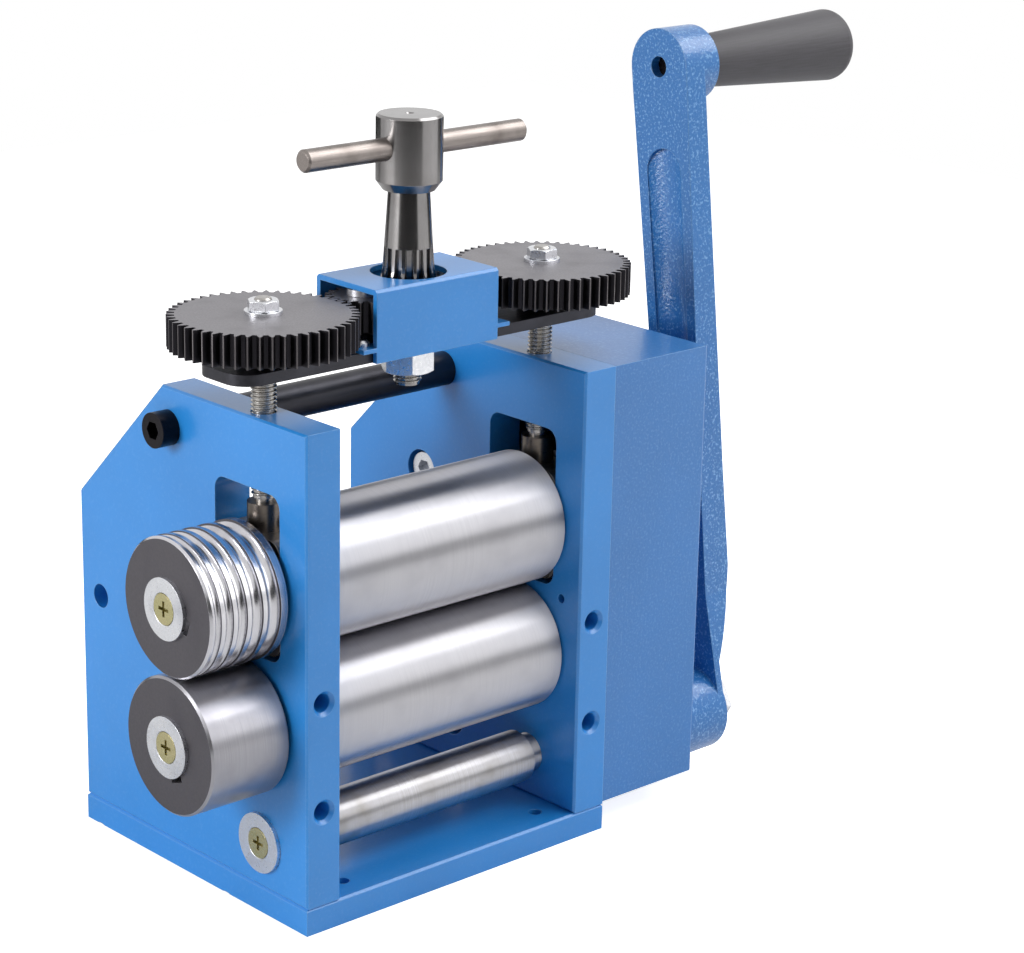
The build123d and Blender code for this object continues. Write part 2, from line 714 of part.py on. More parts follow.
t_phase = pi / 2
left_idler_phase = meshing_phase(t_pinion_teeth, t_phase, pi, lift_idler_teeth)
left_gear_phase = meshing_phase(lift_idler_teeth, left_idler_phase, pi, lift_gear_teeth)
right_idler_phase = meshing_phase(t_pinion_teeth, t_phase, 0, lift_idler_teeth)
right_gear_phase = meshing_phase(lift_idler_teeth, right_idler_phase, 0, lift_gear_teeth)

lift_screw("left_lift_screw", -lift_gear_x)
lift_screw("right_lift_screw", lift_gear_x)
lift_gear("left_lift_gear", -lift_gear_x, left_gear_phase)
lift_gear("right_lift_gear", lift_gear_x, right_gear_phase)
lift_nut("left", -lift_gear_x)
lift_nut("right", lift_gear_x)


def lift_idler(label, x, phase):
    """Idler gear between the handle pinion and one screw-down gear."""
    with BuildPart() as gear:
        teeth = gear_face(Plane.XY.offset(lift_gear_low_z), (x, roll_y), lift_idler_teeth, lift_module, phase,
                          lift_module, 1.25 * lift_module, tooth_thinning,
                          idler_pin_diameter + 2 * running_fit)
        extrude(teeth, amount=lift_gear_width)
        with BuildSketch(Plane.XY.offset(bar_top_z + 0.1)):
            with Locations((x, roll_y)):
                Circle(lift_idler_hub_diameter / 2)
                Circle(idler_pin_diameter / 2 + running_fit, mode=Mode.SUBTRACT)
        extrude(amount=lift_gear_low_z - bar_top_z - 0.1)
    finish(gear, label)


lift_idler("left_idler_gear", -lift_idler_x, left_idler_phase)
lift_idler("right_idler_gear", lift_idler_x, right_idler_phase)

with BuildPart() as idler_pins:
    for x in (-lift_idler_x, lift_idler_x):
        disc_z(x, roll_y, bar_low_z, lift_gear_top_z + 0.1, idler_pin_diameter)
        disc_z(x, roll_y, lift_gear_top_z + 0.1, lift_gear_top_z + 2.4, idler_pin_head)
finish(idler_pins, "idler_pins")

with BuildPart() as bridge_bar:
    with BuildSketch(Plane.XY.offset(bar_low_z)):
        with Locations((0, roll_y)):
            RectangleRounded(bar_length, bar_width, bar_corner)
        for x in (-lift_gear_x, lift_gear_x):
            with Locations((x, roll_y)):
                Circle(lift_screw_top_diameter / 2 + running_fit, mode=Mode.SUBTRACT)
        for x in (-lift_idler_x, lift_idler_x):
            with Locations((x, roll_y)):
                Circle(idler_pin_diameter / 2, mode=Mode.SUBTRACT)
        with Locations((0, roll_y)):
            Circle(t_journal_diameter / 2 + running_fit, mode=Mode.SUBTRACT)
    extrude(amount=bar_thickness)
    for x in (-cover_screw_x, cover_screw_x):
        for y in (-cover_screw_y, cover_screw_y):
            disc_z(x, roll_y + y, bar_low_z, bar_top_z, cover_screw_diameter, Mode.SUBTRACT)
finish(bridge_bar, "bridge_bar")

# folded cover: an upside-down channel with a small foot at each corner on the bar
with BuildPart() as pinion_cover:
    with BuildSketch(Plane(origin=(-cover_length / 2, roll_y, 0), x_dir=(0, 1, 0), z_dir=(1, 0, 0))):
        with Locations((0, (bar_low_z + cover_top_z) / 2)):
            Rectangle(cover_width, cover_top_z - bar_low_z)
        with Locations((0, (bar_low_z + cover_top_z) / 2 - cover_sheet)):
            Rectangle(cover_width - 2 * cover_sheet, cover_top_z - bar_low_z, mode=Mode.SUBTRACT)
    extrude(amount=cover_length)
    chamfer(pinion_cover.faces().sort_by(Axis.Z)[-1].edges().filter_by(Axis.X), length=1.0)
    disc_z(0, roll_y, cover_top_z - cover_sheet, cover_top_z, cover_hole_diameter, Mode.SUBTRACT)
    for x in (-cover_screw_x, cover_screw_x):
        for side in (-1, 1):
            with BuildSketch(Plane.XY.offset(bar_top_z + 0.05)):
                with Locations((x, roll_y + side * (cover_width - cover_foot_width) / 2)):
                    Rectangle(cover_foot_length, cover_foot_width)
                with Locations((x, roll_y + side * cover_screw_y)):
                    Circle(cover_screw_diameter / 2 + 0.3, mode=Mode.SUBTRACT)
            extrude(amount=cover_foot_thickness)
finish(pinion_cover, "pinion_cover")

with BuildPart() as cover_screws:
    foot_top = bar_top_z + 0.05 + cover_foot_thickness
    for x in (-cover_screw_x, cover_screw_x):
        for y in (-cover_screw_y, cover_screw_y):
            disc_z(x, roll_y + y, bar_low_z + 0.2, foot_top, cover_screw_diameter)
            disc_z(x, roll_y + y, foot_top, foot_top + 2.05, cover_screw_head)
    chamfer(cover_screws.faces().sort_by(Axis.Z)[-4:].edges(), length=0.8)
finish(cover_screws, "cover_screws")

# T handle: head, widening neck, pinion cut into the neck, journal and threaded stub
with BuildPart() as t_shaft:
    with BuildSketch(Plane(origin=(0, roll_y, 0), x_dir=(1, 0, 0), z_dir=(0, -1, 0))):
        with BuildLine():
            Polyline(
                (0, bar_top_z + 0.1),
                (t_collar_diameter / 2, bar_top_z + 0.1),
                (t_collar_diameter / 2, lift_gear_low_z - 0.6),
                (t_pinion_tip, lift_gear_low_z - 0.6),
                (t_pinion_tip, t_pinion_top - 4.0),
                (t_pinion_tip - 0.9, t_pinion_top),
                (t_flare_diameter / 2, t_flare_z),
                (t_neck_diameter / 2, t_head_low_z),
                (t_head_diameter / 2 - 2.4, t_head_low_z),
                (t_head_diameter / 2, t_head_low_z + 3.2),
                (t_head_diameter / 2, t_head_top_z - 0.8),
                (t_head_diameter / 2 - 0.8, t_head_top_z),
                (1.6, t_head_top_z),
                (0, t_head_top_z - 1.6),
                close=True,
            )
        make_face()
    revolve(axis=Axis((0, roll_y, 0), (0, 0, 1)))
    with BuildSketch(Plane.XY.offset(lift_gear_low_z - 0.6)):
        with Locations((0, roll_y)):
            Circle(t_pinion_tip + 1)
        with BuildLine():
            Polyline(*tooth_outline((0, roll_y), t_pinion_teeth, lift_module, t_phase, lift_module,
                                    1.25 * lift_module, tooth_thinning), close=True)
        make_face(mode=Mode.SUBTRACT)
    extrude(amount=t_flare_z - lift_gear_low_z + 0.6, mode=Mode.SUBTRACT)
    disc_z(0, roll_y, t_nut_low_z, bar_top_z + 0.1, t_journal_diameter)
    disc_z(0, roll_y, t_nut_low_z - t_stub_length, t_nut_low_z, t_stub_core)
    disc_x(-20, 20, roll_y, tommy_z, tommy_diameter, Mode.SUBTRACT)
finish(t_shaft, "t_shaft")

with BuildPart() as tommy_bar:
    disc_x(tommy_offset - tommy_length / 2, tommy_offset + tommy_length / 2, roll_y, tommy_z, tommy_diameter)
    chamfer(tommy_bar.edges().filter_by(GeomType.CIRCLE), length=edge_break)
finish(tommy_bar, "tommy_bar")

with BuildPart() as t_washer:
    disc_z(0, roll_y, t_nut_top_z, bar_low_z - 0.1, t_washer_diameter)
    disc_z(0, roll_y, t_nut_top_z, bar_low_z - 0.1, t_journal_diameter, Mode.SUBTRACT)
finish(t_washer, "t_washer")

with BuildPart() as t_nut:
    hex_z(0, roll_y, t_nut_low_z, t_nut_top_z, t_nut_flats)
    nut_corners(0, roll_y, t_nut_low_z, t_nut_top_z, t_nut_flats)
    disc_z(0, roll_y, t_nut_low_z, t_nut_top_z, t_journal_diameter, Mode.SUBTRACT)
finish(t_nut, "t_nut")

# ---------------------------------------------------------------- gears inside the gearbox
lower_roll_phase = pi / 2
upper_roll_phase = meshing_phase(roll_gear_teeth, lower_roll_phase, pi / 2, roll_gear_teeth)
idler_direction = pi + acos((roll_y - drive_idler_y) / idler_to_roll)
reduction_phase = 0.0
drive_idler_phase = meshing_phase(reduction_teeth, reduction_phase, idler_direction, drive_idler_teeth)
crank_direction = pi + acos((drive_idler_y - crank_y) / crank_to_idler)
crank_pinion_phase = meshing_phase(drive_idler_teeth, drive_idler_phase, crank_direction, crank_pinion_teeth)


def roll_gear(label, z, phase, key_angle):
    """Long-toothed gear that keeps the two rolls turning together while the gap opens."""
    with BuildPart() as gear:
        teeth = gear_face(Plane.YZ.offset(roll_gear_x), (roll_y, z), roll_gear_teeth, roll_gear_module, phase,
                          roll_gear_addendum, roll_gear_addendum + 0.7, roll_tooth_thinning,
                          gear_seat_diameter)
        extrude(teeth, amount=roll_gear_width)
        key_block(roll_gear_x, roll_gear_x + roll_gear_width, roll_y, z, key_angle, 8, 12.6,
                  key_width + 0.04, Mode.SUBTRACT)
    finish(gear, label)


roll_gear("lower_roll_gear", lower_axis_z, lower_roll_phase, lower_key_angle)
roll_gear("upper_roll_gear", upper_axis_z, upper_roll_phase, upper_key_angle)

with BuildPart() as reduction_gear:
    teeth = gear_face(Plane.YZ.offset(drive_gear_x), (roll_y, lower_axis_z), reduction_teeth, drive_module,
                      reduction_phase, drive_module, 1.25 * drive_module, tooth_thinning, gear_seat_diameter)
    extrude(teeth, amount=drive_gear_width)
    with BuildSketch(Plane.YZ.offset(roll_gear_x + roll_gear_width + 0.3)):
        with Locations((roll_y, lower_axis_z)):
            Circle(15)
            Circle(gear_seat_diameter / 2, mode=Mode.SUBTRACT)
    extrude(amount=drive_gear_x - roll_gear_x - roll_gear_width - 0.3)
    key_block(roll_gear_x + roll_gear_width, drive_gear_end, roll_y, lower_axis_z, lower_key_angle, 8, 12.6,
              key_width + 0.04, Mode.SUBTRACT)
finish(reduction_gear, "reduction_gear")


def shaft_ring(label, x_start, y, z, bore, outer):
    """Retaining ring with its gap, on the end of a shaft."""
    with BuildPart() as ring:
        disc_x(x_start, x_start + 1.5, y, z, outer)
        disc_x(x_start, x_start + 1.5, y, z, bore, Mode.SUBTRACT)
        key_block(x_start, x_start + 1.5, y, z, 90, 0, outer, 4, Mode.SUBTRACT)
    finish(ring, label)


shaft_ring("upper_gear_ring", roll_gear_x + roll_gear_width + 0.1, roll_y, upper_axis_z, gear_seat_diameter,
           gear_seat_diameter + 7)
shaft_ring("lower_gear_ring", drive_gear_end + 0.1, roll_y, lower_axis_z, gear_seat_diameter,
           gear_seat_diameter + 7)
shaft_ring("drive_idler_ring", drive_gear_end + 0.1, drive_idler_y, drive_idler_z, drive_idler_pin,
           drive_idler_pin + 6)

with BuildPart() as drive_idler_gear:
    teeth = gear_face(Plane.YZ.offset(drive_gear_x), (drive_idler_y, drive_idler_z), drive_idler_teeth,
                      drive_module,
                      drive_idler_phase, drive_module, 1.25 * drive_module, tooth_thinning,
                      drive_idler_pin + 2 * running_fit)
    extrude(teeth, amount=drive_gear_width)
finish(drive_idler_gear, "drive_idler_gear")

with BuildPart() as drive_idler_shaft:
    disc_x(plate_outer - idler_seat, drive_gear_end + 2.6, drive_idler_y, drive_idler_z, drive_idler_pin)
    disc_x(plate_outer + 0.3, drive_gear_x - 0.1, drive_idler_y, drive_idler_z, drive_idler_collar)
finish(drive_idler_shaft, "drive_idler_shaft")

crank_key_x = gearbox_outer + 5.0
crank_nut_x = arm_x + hub_rim + crank_washer_thickness


def crank_key_block(x_start, x_end, slack, mode=Mode.ADD):
    """Crank key, or its slot when slack is given."""
    key_block(x_start, x_end, crank_y, crank_axis_z, 90, crank_key_inner, crank_key_outer + slack,
              crank_key_width + slack, mode)


with BuildPart() as crank_shaft:
    disc_x(plate_outer - crank_bush_length + small_gap, arm_x + hub_rim - 0.6, crank_y, crank_axis_z,
           crank_shaft_diameter)
    disc_x(arm_x, crank_nut_x + crank_nut_height + 1.2, crank_y, crank_axis_z, crank_thread_diameter)
    teeth = gear_face(Plane.YZ.offset(drive_gear_x), (crank_y, crank_axis_z), crank_pinion_teeth,
                      drive_module,
                      crank_pinion_phase, drive_module, 1.25 * drive_module, tooth_thinning, 6)
    extrude(teeth, amount=drive_gear_width)
    crank_key_block(crank_key_x, crank_key_x + key_length, 0, Mode.SUBTRACT)
finish(crank_shaft, "crank_shaft")

with BuildPart() as crank_key:
    crank_key_block(crank_key_x, crank_key_x + key_length, 0)
finish(crank_key, "crank_key")

with BuildPart() as crank_bushes:
    for x in (plate_outer - crank_bush_length, gearbox_outer - crank_bush_length):
        disc_x(x, x + crank_bush_length, crank_y, crank_axis_z, crank_bush_diameter)
        bore = crank_shaft_diameter + 2 * running_fit
        disc_x(x, x + crank_bush_length, crank_y, crank_axis_z, bore, Mode.SUBTRACT)
finish(crank_bushes, "crank_bushes")

with BuildPart() as gearbox_screws:
    for y, z in gearbox_screw_places:
        socket_screw_x(plate_inner + gearbox_screw_head_depth, 1, y, z, gearbox_screw_length)
finish(gearbox_screws, "gearbox_screws")

# ---------------------------------------------------------------- gearbox casting
cavity_front = front_y + gearbox_front_wall
cavity_back = back_y - gearbox_wall
cavity_low = gearbox_low_z + gearbox_front_wall
cavity_top = plate_top - gearbox_wall
cavity_outer = gearbox_outer - gearbox_wall
with BuildPart() as gearbox_case:
    with BuildSketch(Plane.YZ.offset(plate_outer)):
        with BuildLine():
            Polyline(
                (front_y, gearbox_low_z),
                (back_y, gearbox_low_z),
                (back_y, plate_top - plate_chamfer_drop),
                (back_y - plate_chamfer_run, plate_top),
                (front_y, plate_top),
                close=True,
            )
        make_face()
    extrude(amount=gearbox_width)
    fillet(gearbox_case.faces().sort_by(Axis.X)[-1].edges(), radius=1.5)
    with BuildSketch(Plane.YZ.offset(plate_outer)):
        with BuildLine():
            Polyline(
                (cavity_front, cavity_low),
                (cavity_back, cavity_low),
                (cavity_back, cavity_top - plate_chamfer_drop + 3),
                (cavity_back - plate_chamfer_run + 3, cavity_top),
                (cavity_front, cavity_top),
                close=True,
            )
        make_face()
    extrude(amount=gearbox_width - gearbox_wall, mode=Mode.SUBTRACT)
    disc_x(cavity_outer - 3, cavity_outer + 1, crank_y, crank_axis_z, crank_bush_diameter + 6)
    for y, z in gearbox_screw_places:
        disc_x(plate_outer, cavity_outer + 1, y, z, gearbox_post_diameter)
        disc_x(plate_outer, plate_outer + gearbox_screw_length, y, z, cap_screw_diameter, Mode.SUBTRACT)
    disc_x(gearbox_outer - crank_bush_length, gearbox_outer, crank_y, crank_axis_z, crank_bush_diameter,
           Mode.SUBTRACT)
finish(gearbox_case, "gearbox_case")

# ---------------------------------------------------------------- crank arm and grip
lean = radians(crank_lean)
boss_y = crank_y + crank_throw * sin(lean)
boss_z = crank_axis_z + crank_throw * cos(lean)


def crank_plane(x):
    """Plane square to X through the crank axis, its y axis along the arm."""
    return Plane(origin=(x, crank_y, crank_axis_z), x_dir=(0, cos(lean), -sin(lean)), z_dir=(1, 0, 0))


side_view = Plane(origin=(0, crank_y, crank_axis_z), x_dir=(1, 0, 0), z_dir=(0, -cos(lean), sin(lean)))
pocket_low_half = arm_width_low / 2 - pocket_margin_low
pocket_top_half = arm_width_top / 2 - pocket_margin_top
pocket_low = arm_low - arm_flare
pocket_top = crank_throw - pocket_end
scoop_radius = (pocket_top_half**2 + pocket_depth**2) / (2 * pocket_depth)
with BuildPart(mode=Mode.PRIVATE) as arm_pocket:
    with BuildSketch(crank_plane(arm_x - 1)):
        with BuildLine():
            Polyline((-pocket_low_half, pocket_low), (-pocket_top_half, pocket_top),
                     (pocket_top_half, pocket_top), (pocket_low_half, pocket_low), close=True)
        make_face()
        with Locations((0, pocket_top)):
            Circle(pocket_top_half)
        with Locations((0, pocket_low)):
            Circle(pocket_low_half)
    extrude(amount=pocket_depth + 1.5)
    # the pocket's floor is a wide shallow trough
    foot = Plane(origin=(arm_x, crank_y, crank_axis_z), x_dir=(1, 0, 0), z_dir=(0, sin(lean), cos(lean)))
    with BuildSketch(foot):
        with Locations((pocket_depth - scoop_radius, 0)):
            Circle(scoop_radius + 0.4)
    extrude(amount=crank_throw, mode=Mode.INTERSECT)

with BuildPart() as crank_arm:
    with BuildSketch(crank_plane(arm_x)):
        with BuildLine():
            Polyline(
                (-hub_diameter / 2 + 1, 0),
                (-hub_diameter / 2 + 2.5, 14),
                (-arm_width_low / 2, arm_low - arm_flare),
                (-arm_width_low / 2 - 0.4, arm_low + 40),
                (-arm_width_top / 2, crank_throw - 8),
                (-arm_width_top / 2, crank_throw),
                (arm_width_top / 2, crank_throw),
                (arm_width_top / 2, crank_throw - 8),
                (arm_width_low / 2 + 0.4, arm_low + 40),
                (arm_width_low / 2, arm_low - arm_flare),
                (hub_diameter / 2 - 2.5, 14),
                (hub_diameter / 2 - 1, 0),
                close=True,
            )
        make_face()
        with Locations((0, crank_throw)):
            Circle(boss_diameter / 2)
    extrude(amount=arm_thick_low)
    # the back of the arm thins towards the top and is cut away over the hub
    with BuildSketch(side_view):
        with BuildLine():
            Polyline(
                (arm_x + arm_thick_low - 0.3, arm_low),
                (arm_x + arm_thick_top, crank_throw + arm_width_top),
                (boss_outer, crank_throw + arm_width_top),
                (boss_outer, -hub_diameter),
                (arm_x + hub_rim, -hub_diameter),
                (arm_x + hub_rim, hub_diameter / 2 + 2.7),
            )
            ThreePointArc(
                (arm_x + hub_rim, hub_diameter / 2 + 2.7),
                (arm_x + 0.7 * arm_thick_low, (arm_low + hub_diameter / 2) / 2),
                (arm_x + arm_thick_low - 0.3, arm_low),
            )
        make_face()
    extrude(amount=hub_diameter, both=True, mode=Mode.SUBTRACT)
    # long scooped pocket in the inner face, round at both ends
    add(arm_pocket.part, mode=Mode.SUBTRACT)
    # hub towards the gearbox and boss towards the grip
    disc_x(gearbox_outer + hub_gap, arm_x + hub_rim, crank_y, crank_axis_z, hub_diameter)
    disc_x(arm_x + 1, boss_outer, boss_y, boss_z, boss_diameter)
    chamfer(crank_arm.faces().sort_by(Axis.X)[-1].edges(), length=2.0)
    disc_x(gearbox_outer + hub_gap, arm_x + hub_rim, crank_y, crank_axis_z, crank_shaft_diameter + 0.02,
           Mode.SUBTRACT)
    crank_key_block(gearbox_outer + hub_gap, arm_x + hub_rim, 0.04, Mode.SUBTRACT)
    disc_x(arm_x, boss_outer, boss_y, boss_z, grip_pin_diameter, Mode.SUBTRACT)
finish(crank_arm, "crank_arm")

with BuildPart() as crank_washer:
    disc_x(arm_x + hub_rim, crank_nut_x, crank_y, crank_axis_z, crank_washer_diameter)
    disc_x(arm_x + hub_rim, crank_nut_x, crank_y, crank_axis_z, crank_thread_diameter, Mode.SUBTRACT)
finish(crank_washer, "crank_washer")

with BuildPart() as crank_nut:
    with BuildSketch(Plane.YZ.offset(crank_nut_x)):
        with Locations((crank_y, crank_axis_z)):
            RegularPolygon(crank_nut_flats / 2, 6, major_radius=False)
            Circle(crank_thread_diameter / 2, mode=Mode.SUBTRACT)
    extrude(amount=crank_nut_height)
finish(crank_nut, "crank_nut")

with BuildPart() as grip_pin:
    pin_head_x = grip_end - grip_recess_depth
    disc_x(arm_x + 4, pin_head_x, boss_y, boss_z, grip_pin_diameter)
    disc_x(pin_head_x, pin_head_x + 4, boss_y, boss_z, grip_pin_head)
    with BuildSketch(Plane.YZ.offset(pin_head_x + 1.5)):
        with Locations((boss_y, boss_z)):
            RegularPolygon(3, 6, major_radius=False)
    extrude(amount=2.5, mode=Mode.SUBTRACT)
finish(grip_pin, "grip_pin")

with BuildPart() as grip:
    with BuildSketch(Plane(origin=(grip_start, boss_y, boss_z), x_dir=(1, 0, 0), z_dir=(0, -1, 0))):
        with BuildLine():
            Polyline((0, 0), (0, grip_small_diameter / 2 - 0.8), (0.8, grip_small_diameter / 2),
                     (grip_length - 5, grip_large_diameter / 2))
            ThreePointArc((grip_length - 5, grip_large_diameter / 2),
                          (grip_length - 1.4, grip_large_diameter / 2 - 1.7),
                          (grip_length, grip_large_diameter / 2 - 5))
            Polyline((grip_length, grip_large_diameter / 2 - 5), (grip_length, 0), (0, 0))
        make_face()
    revolve(axis=Axis((grip_start, boss_y, boss_z), (1, 0, 0)))
    disc_x(grip_start, grip_end, boss_y, boss_z, grip_pin_diameter + 0.2, Mode.SUBTRACT)
    disc_x(grip_end - grip_recess_depth - 0.1, grip_end, boss_y, boss_z, grip_recess_diameter, Mode.SUBTRACT)
finish(grip, "grip")
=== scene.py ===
import math

import bmesh
import bpy
from bpy.props import FloatProperty, FloatVectorProperty, PointerProperty
from mathutils import Matrix, Vector


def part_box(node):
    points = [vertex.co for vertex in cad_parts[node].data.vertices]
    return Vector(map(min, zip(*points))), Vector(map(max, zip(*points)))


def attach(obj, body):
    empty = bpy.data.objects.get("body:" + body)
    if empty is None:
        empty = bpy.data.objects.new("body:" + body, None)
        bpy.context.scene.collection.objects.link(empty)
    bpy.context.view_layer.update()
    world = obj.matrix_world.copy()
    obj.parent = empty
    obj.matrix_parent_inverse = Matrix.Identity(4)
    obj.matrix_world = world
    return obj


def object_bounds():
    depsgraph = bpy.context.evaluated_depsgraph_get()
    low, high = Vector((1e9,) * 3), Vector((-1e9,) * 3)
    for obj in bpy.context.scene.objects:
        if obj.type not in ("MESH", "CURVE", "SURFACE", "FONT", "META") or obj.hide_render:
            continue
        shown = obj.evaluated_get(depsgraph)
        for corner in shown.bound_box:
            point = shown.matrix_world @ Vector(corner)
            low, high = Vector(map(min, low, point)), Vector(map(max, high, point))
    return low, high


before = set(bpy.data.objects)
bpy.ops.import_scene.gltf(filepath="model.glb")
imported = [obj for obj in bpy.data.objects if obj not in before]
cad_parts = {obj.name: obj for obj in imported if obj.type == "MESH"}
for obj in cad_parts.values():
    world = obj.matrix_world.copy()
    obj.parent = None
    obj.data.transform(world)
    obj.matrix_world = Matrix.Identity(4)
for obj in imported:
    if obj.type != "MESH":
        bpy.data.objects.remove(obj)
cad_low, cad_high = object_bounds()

bl_info = {
    "name": "Jewellers rolling mill finishes",
    "version": (1, 0, 0),
    "blender": (4, 5, 0),
    "location": "3D View > Sidebar > Rolling mill",
    "description": "Dresses the combination rolling mill with enamel, steel, plating and rubber",
    "category": "Object",
}

MM = 0.001
# The plates hide the pressing screws between these two heights above the base's underside.
SCREW_SHOWS_ABOVE = 175.0 * MM
SCREW_SHOWS_BELOW = 158.6 * MM
# A screw's ridge starts this far above its cap, and the T-shaft's ends this far up in its nut.
CAP_CLEARANCE = 1.6 * MM
NUT_COVER = 0.6 * MM
# The floor lies this far under the base, so that the two don't share a plane.
FLOOR_DROP = 0.2 * MM


def linear(code):
    """Turns an sRGB hex code into linear red, green and blue."""
    parts = [int(code[place:place + 2], 16) / 255 for place in (0, 2, 4)]
    return tuple(part / 12.92 if part <= 0.04045 else ((part + 0.055) / 1.055) ** 2.4 for part in parts)


def rgba(colour):
    return (*colour, 1.0)


# ---------------------------------------------------------------- settings


class MillEnamelSettings(bpy.types.PropertyGroup):
    plate_colour: FloatVectorProperty(name="Plates", description="Blue enamel of the plates and the base",
                                      subtype="COLOR", size=3, min=0, max=1, default=linear("2080cc"))
    case_colour: FloatVectorProperty(name="Gear case", description="Blue hammered enamel of the gear case",
                                     subtype="COLOR", size=3, min=0, max=1, default=linear("266fb4"))
    arm_colour: FloatVectorProperty(name="Crank arm", description="Blue hammered enamel of the crank arm",
                                    subtype="COLOR", size=3, min=0, max=1, default=linear("1f69ac"))
    # The speckle colour paints the light dots of the hammered enamel, and also the painted highlight along
    # the edges.
    speckle_and_edge_highlight_colour: FloatVectorProperty(name="Speckle", description="Light dots where the enamel is thin",
                                        subtype="COLOR", size=3, min=0, max=1, default=linear("8fc0ea"))
    peel: FloatProperty(name="Orange peel", description="Width of one ripple in the dried enamel",
                        subtype="DISTANCE", unit="LENGTH", default=1.6 * MM, min=0.2 * MM, max=10 * MM)
    hammer: FloatProperty(name="Hammer mark", description="Width of one dimple in the hammered enamel",
                          subtype="DISTANCE", unit="LENGTH", default=1.3 * MM, min=0.2 * MM, max=10 * MM)


class MillSteelSettings(bpy.types.PropertyGroup):
    roll_colour: FloatVectorProperty(name="Ground steel", description="Ground steel of the rolls",
                                     subtype="COLOR", size=3, min=0, max=1, default=linear("d2d1d5"))
    face_colour: FloatVectorProperty(name="Hardened face", description="Grey ends of the side rolls",
                                     subtype="COLOR", size=3, min=0, max=1, default=linear("59575b"))
    handle_colour: FloatVectorProperty(name="Handle steel", description="Dark polished steel of the T-handle",
                                       subtype="COLOR", size=3, min=0, max=1, default=linear("918f8f"))
    bar_colour: FloatVectorProperty(name="Bar steel", description="Brownish drawn steel of the cross bar",
                                    subtype="COLOR", size=3, min=0, max=1, default=linear("8f8884"))
    gear_colour: FloatVectorProperty(name="Gear faces", description="Grey faces of the lift gears",
                                     subtype="COLOR", size=3, min=0, max=1, default=linear("8b898d"))
    oxide_colour: FloatVectorProperty(name="Black oxide", description="Blackened teeth, screws and bars",
                                      subtype="COLOR", size=3, min=0, max=1, default=linear("2e2d31"))
    zinc_colour: FloatVectorProperty(name="Zinc", description="Bright zinc plating",
                                     subtype="COLOR", size=3, min=0, max=1, default=linear("e2e3e6"))
    yellow_colour: FloatVectorProperty(name="Yellow zinc", description="Yellow passivated zinc plating",
                                       subtype="COLOR", size=3, min=0, max=1, default=linear("c0b58c"))
    bronze_colour: FloatVectorProperty(name="Bronze", description="Bearing bronze of the bushes",
                                       subtype="COLOR", size=3, min=0, max=1, default=linear("a98450"))


class MillGripSettings(bpy.types.PropertyGroup):
    rubber_colour: FloatVectorProperty(name="Rubber", description="Dark rubber of the hand grip",
                                       subtype="COLOR", size=3, min=0, max=1, default=linear("2f2d32"))
    grain: FloatProperty(name="Grain", description="Size of one grain left by the grip's mould",
                         subtype="DISTANCE", unit="LENGTH", default=0.8 * MM, min=0.1 * MM, max=5 * MM)


class MillThreadSettings(bpy.types.PropertyGroup):
    screw_pitch: FloatProperty(name="Screw pitch", description="Rise of the pressing screws in one turn",
                               subtype="DISTANCE", unit="LENGTH", default=1.5 * MM, min=0.3 * MM, max=5 * MM)
    screw_root: FloatProperty(name="Screw root radius", description="Radius at the screw thread's bottom",
                              subtype="DISTANCE", unit="LENGTH", default=3.86 * MM, min=1 * MM, max=20 * MM)
    screw_crest: FloatProperty(name="Screw crest radius", description="Radius at the top of the screw thread",
                               subtype="DISTANCE", unit="LENGTH", default=4.5 * MM, min=1 * MM, max=20 * MM)
    stub_root: FloatProperty(name="Stub root radius", description="Radius at the T-shaft thread's bottom",
                             subtype="DISTANCE", unit="LENGTH", default=4.26 * MM, min=1 * MM, max=20 * MM)
    stub_crest: FloatProperty(name="Stub crest radius", description="Radius at the T-shaft thread's top",
                              subtype="DISTANCE", unit="LENGTH", default=5.0 * MM, min=1 * MM, max=20 * MM)
    stub_pitch: FloatProperty(name="Stub pitch", description="Rise of the T-shaft's thread in one turn",
                              subtype="DISTANCE", unit="LENGTH", default=1.25 * MM, min=0.3 * MM, max=5 * MM)


class MillStageSettings(bpy.types.PropertyGroup):
    azimuth: FloatProperty(name="Azimuth", description="Camera's turn around the mill, from its front",
                           subtype="ANGLE", unit="ROTATION", default=math.radians(-42.78))
    elevation: FloatProperty(name="Elevation", description="Camera's height angle",
                             subtype="ANGLE", unit="ROTATION", default=math.radians(17.29))
    roll: FloatProperty(name="Roll", description="Camera's turn about its own line of sight",
                        subtype="ANGLE", unit="ROTATION", default=math.radians(1.18))
    distance: FloatProperty(name="Distance", description="Camera's distance from the target",
                            subtype="DISTANCE", unit="LENGTH", default=0.9901, min=0.1)
    target: FloatVectorProperty(name="Target", description="Point that the camera looks at",
                                subtype="XYZ", unit="LENGTH", size=3, default=(0.00424, -0.08479, 0.15732))
    lens: FloatProperty(name="Focal length", description="Camera's focal length in millimetres",
                        subtype="DISTANCE_CAMERA", unit="CAMERA", default=101.27, min=10)
    ambient: FloatProperty(name="Room light", description="Strength of the white room around the mill",
                           default=0.17, min=0, max=2)


SETTINGS = {
    "mill_enamel": MillEnamelSettings,
    "mill_steel": MillSteelSettings,
    "mill_grip": MillGripSettings,
    "mill_thread": MillThreadSettings,
    "mill_stage": MillStageSettings,
}


# ---------------------------------------------------------------- materials


def add_node(tree, kind, properties=None, values=None, links=None):
    """Adds one node with its properties, the values of its inputs and the sockets that feed them."""
    made = tree.nodes.new(kind)
    for key, value in (properties or {}).items():
        setattr(made, key, value)
    for key, value in (values or {}).items():
        made.inputs[key].default_value = value
    for key, source in (links or {}).items():
        tree.links.new(source, made.inputs[key])
    return made


def new_material(name):
    """An empty node material with its output, ready for a shader."""
    material = bpy.data.materials.get(name) or bpy.data.materials.new(name)
    material.use_nodes = True
    material.node_tree.nodes.clear()
    return material, material.node_tree


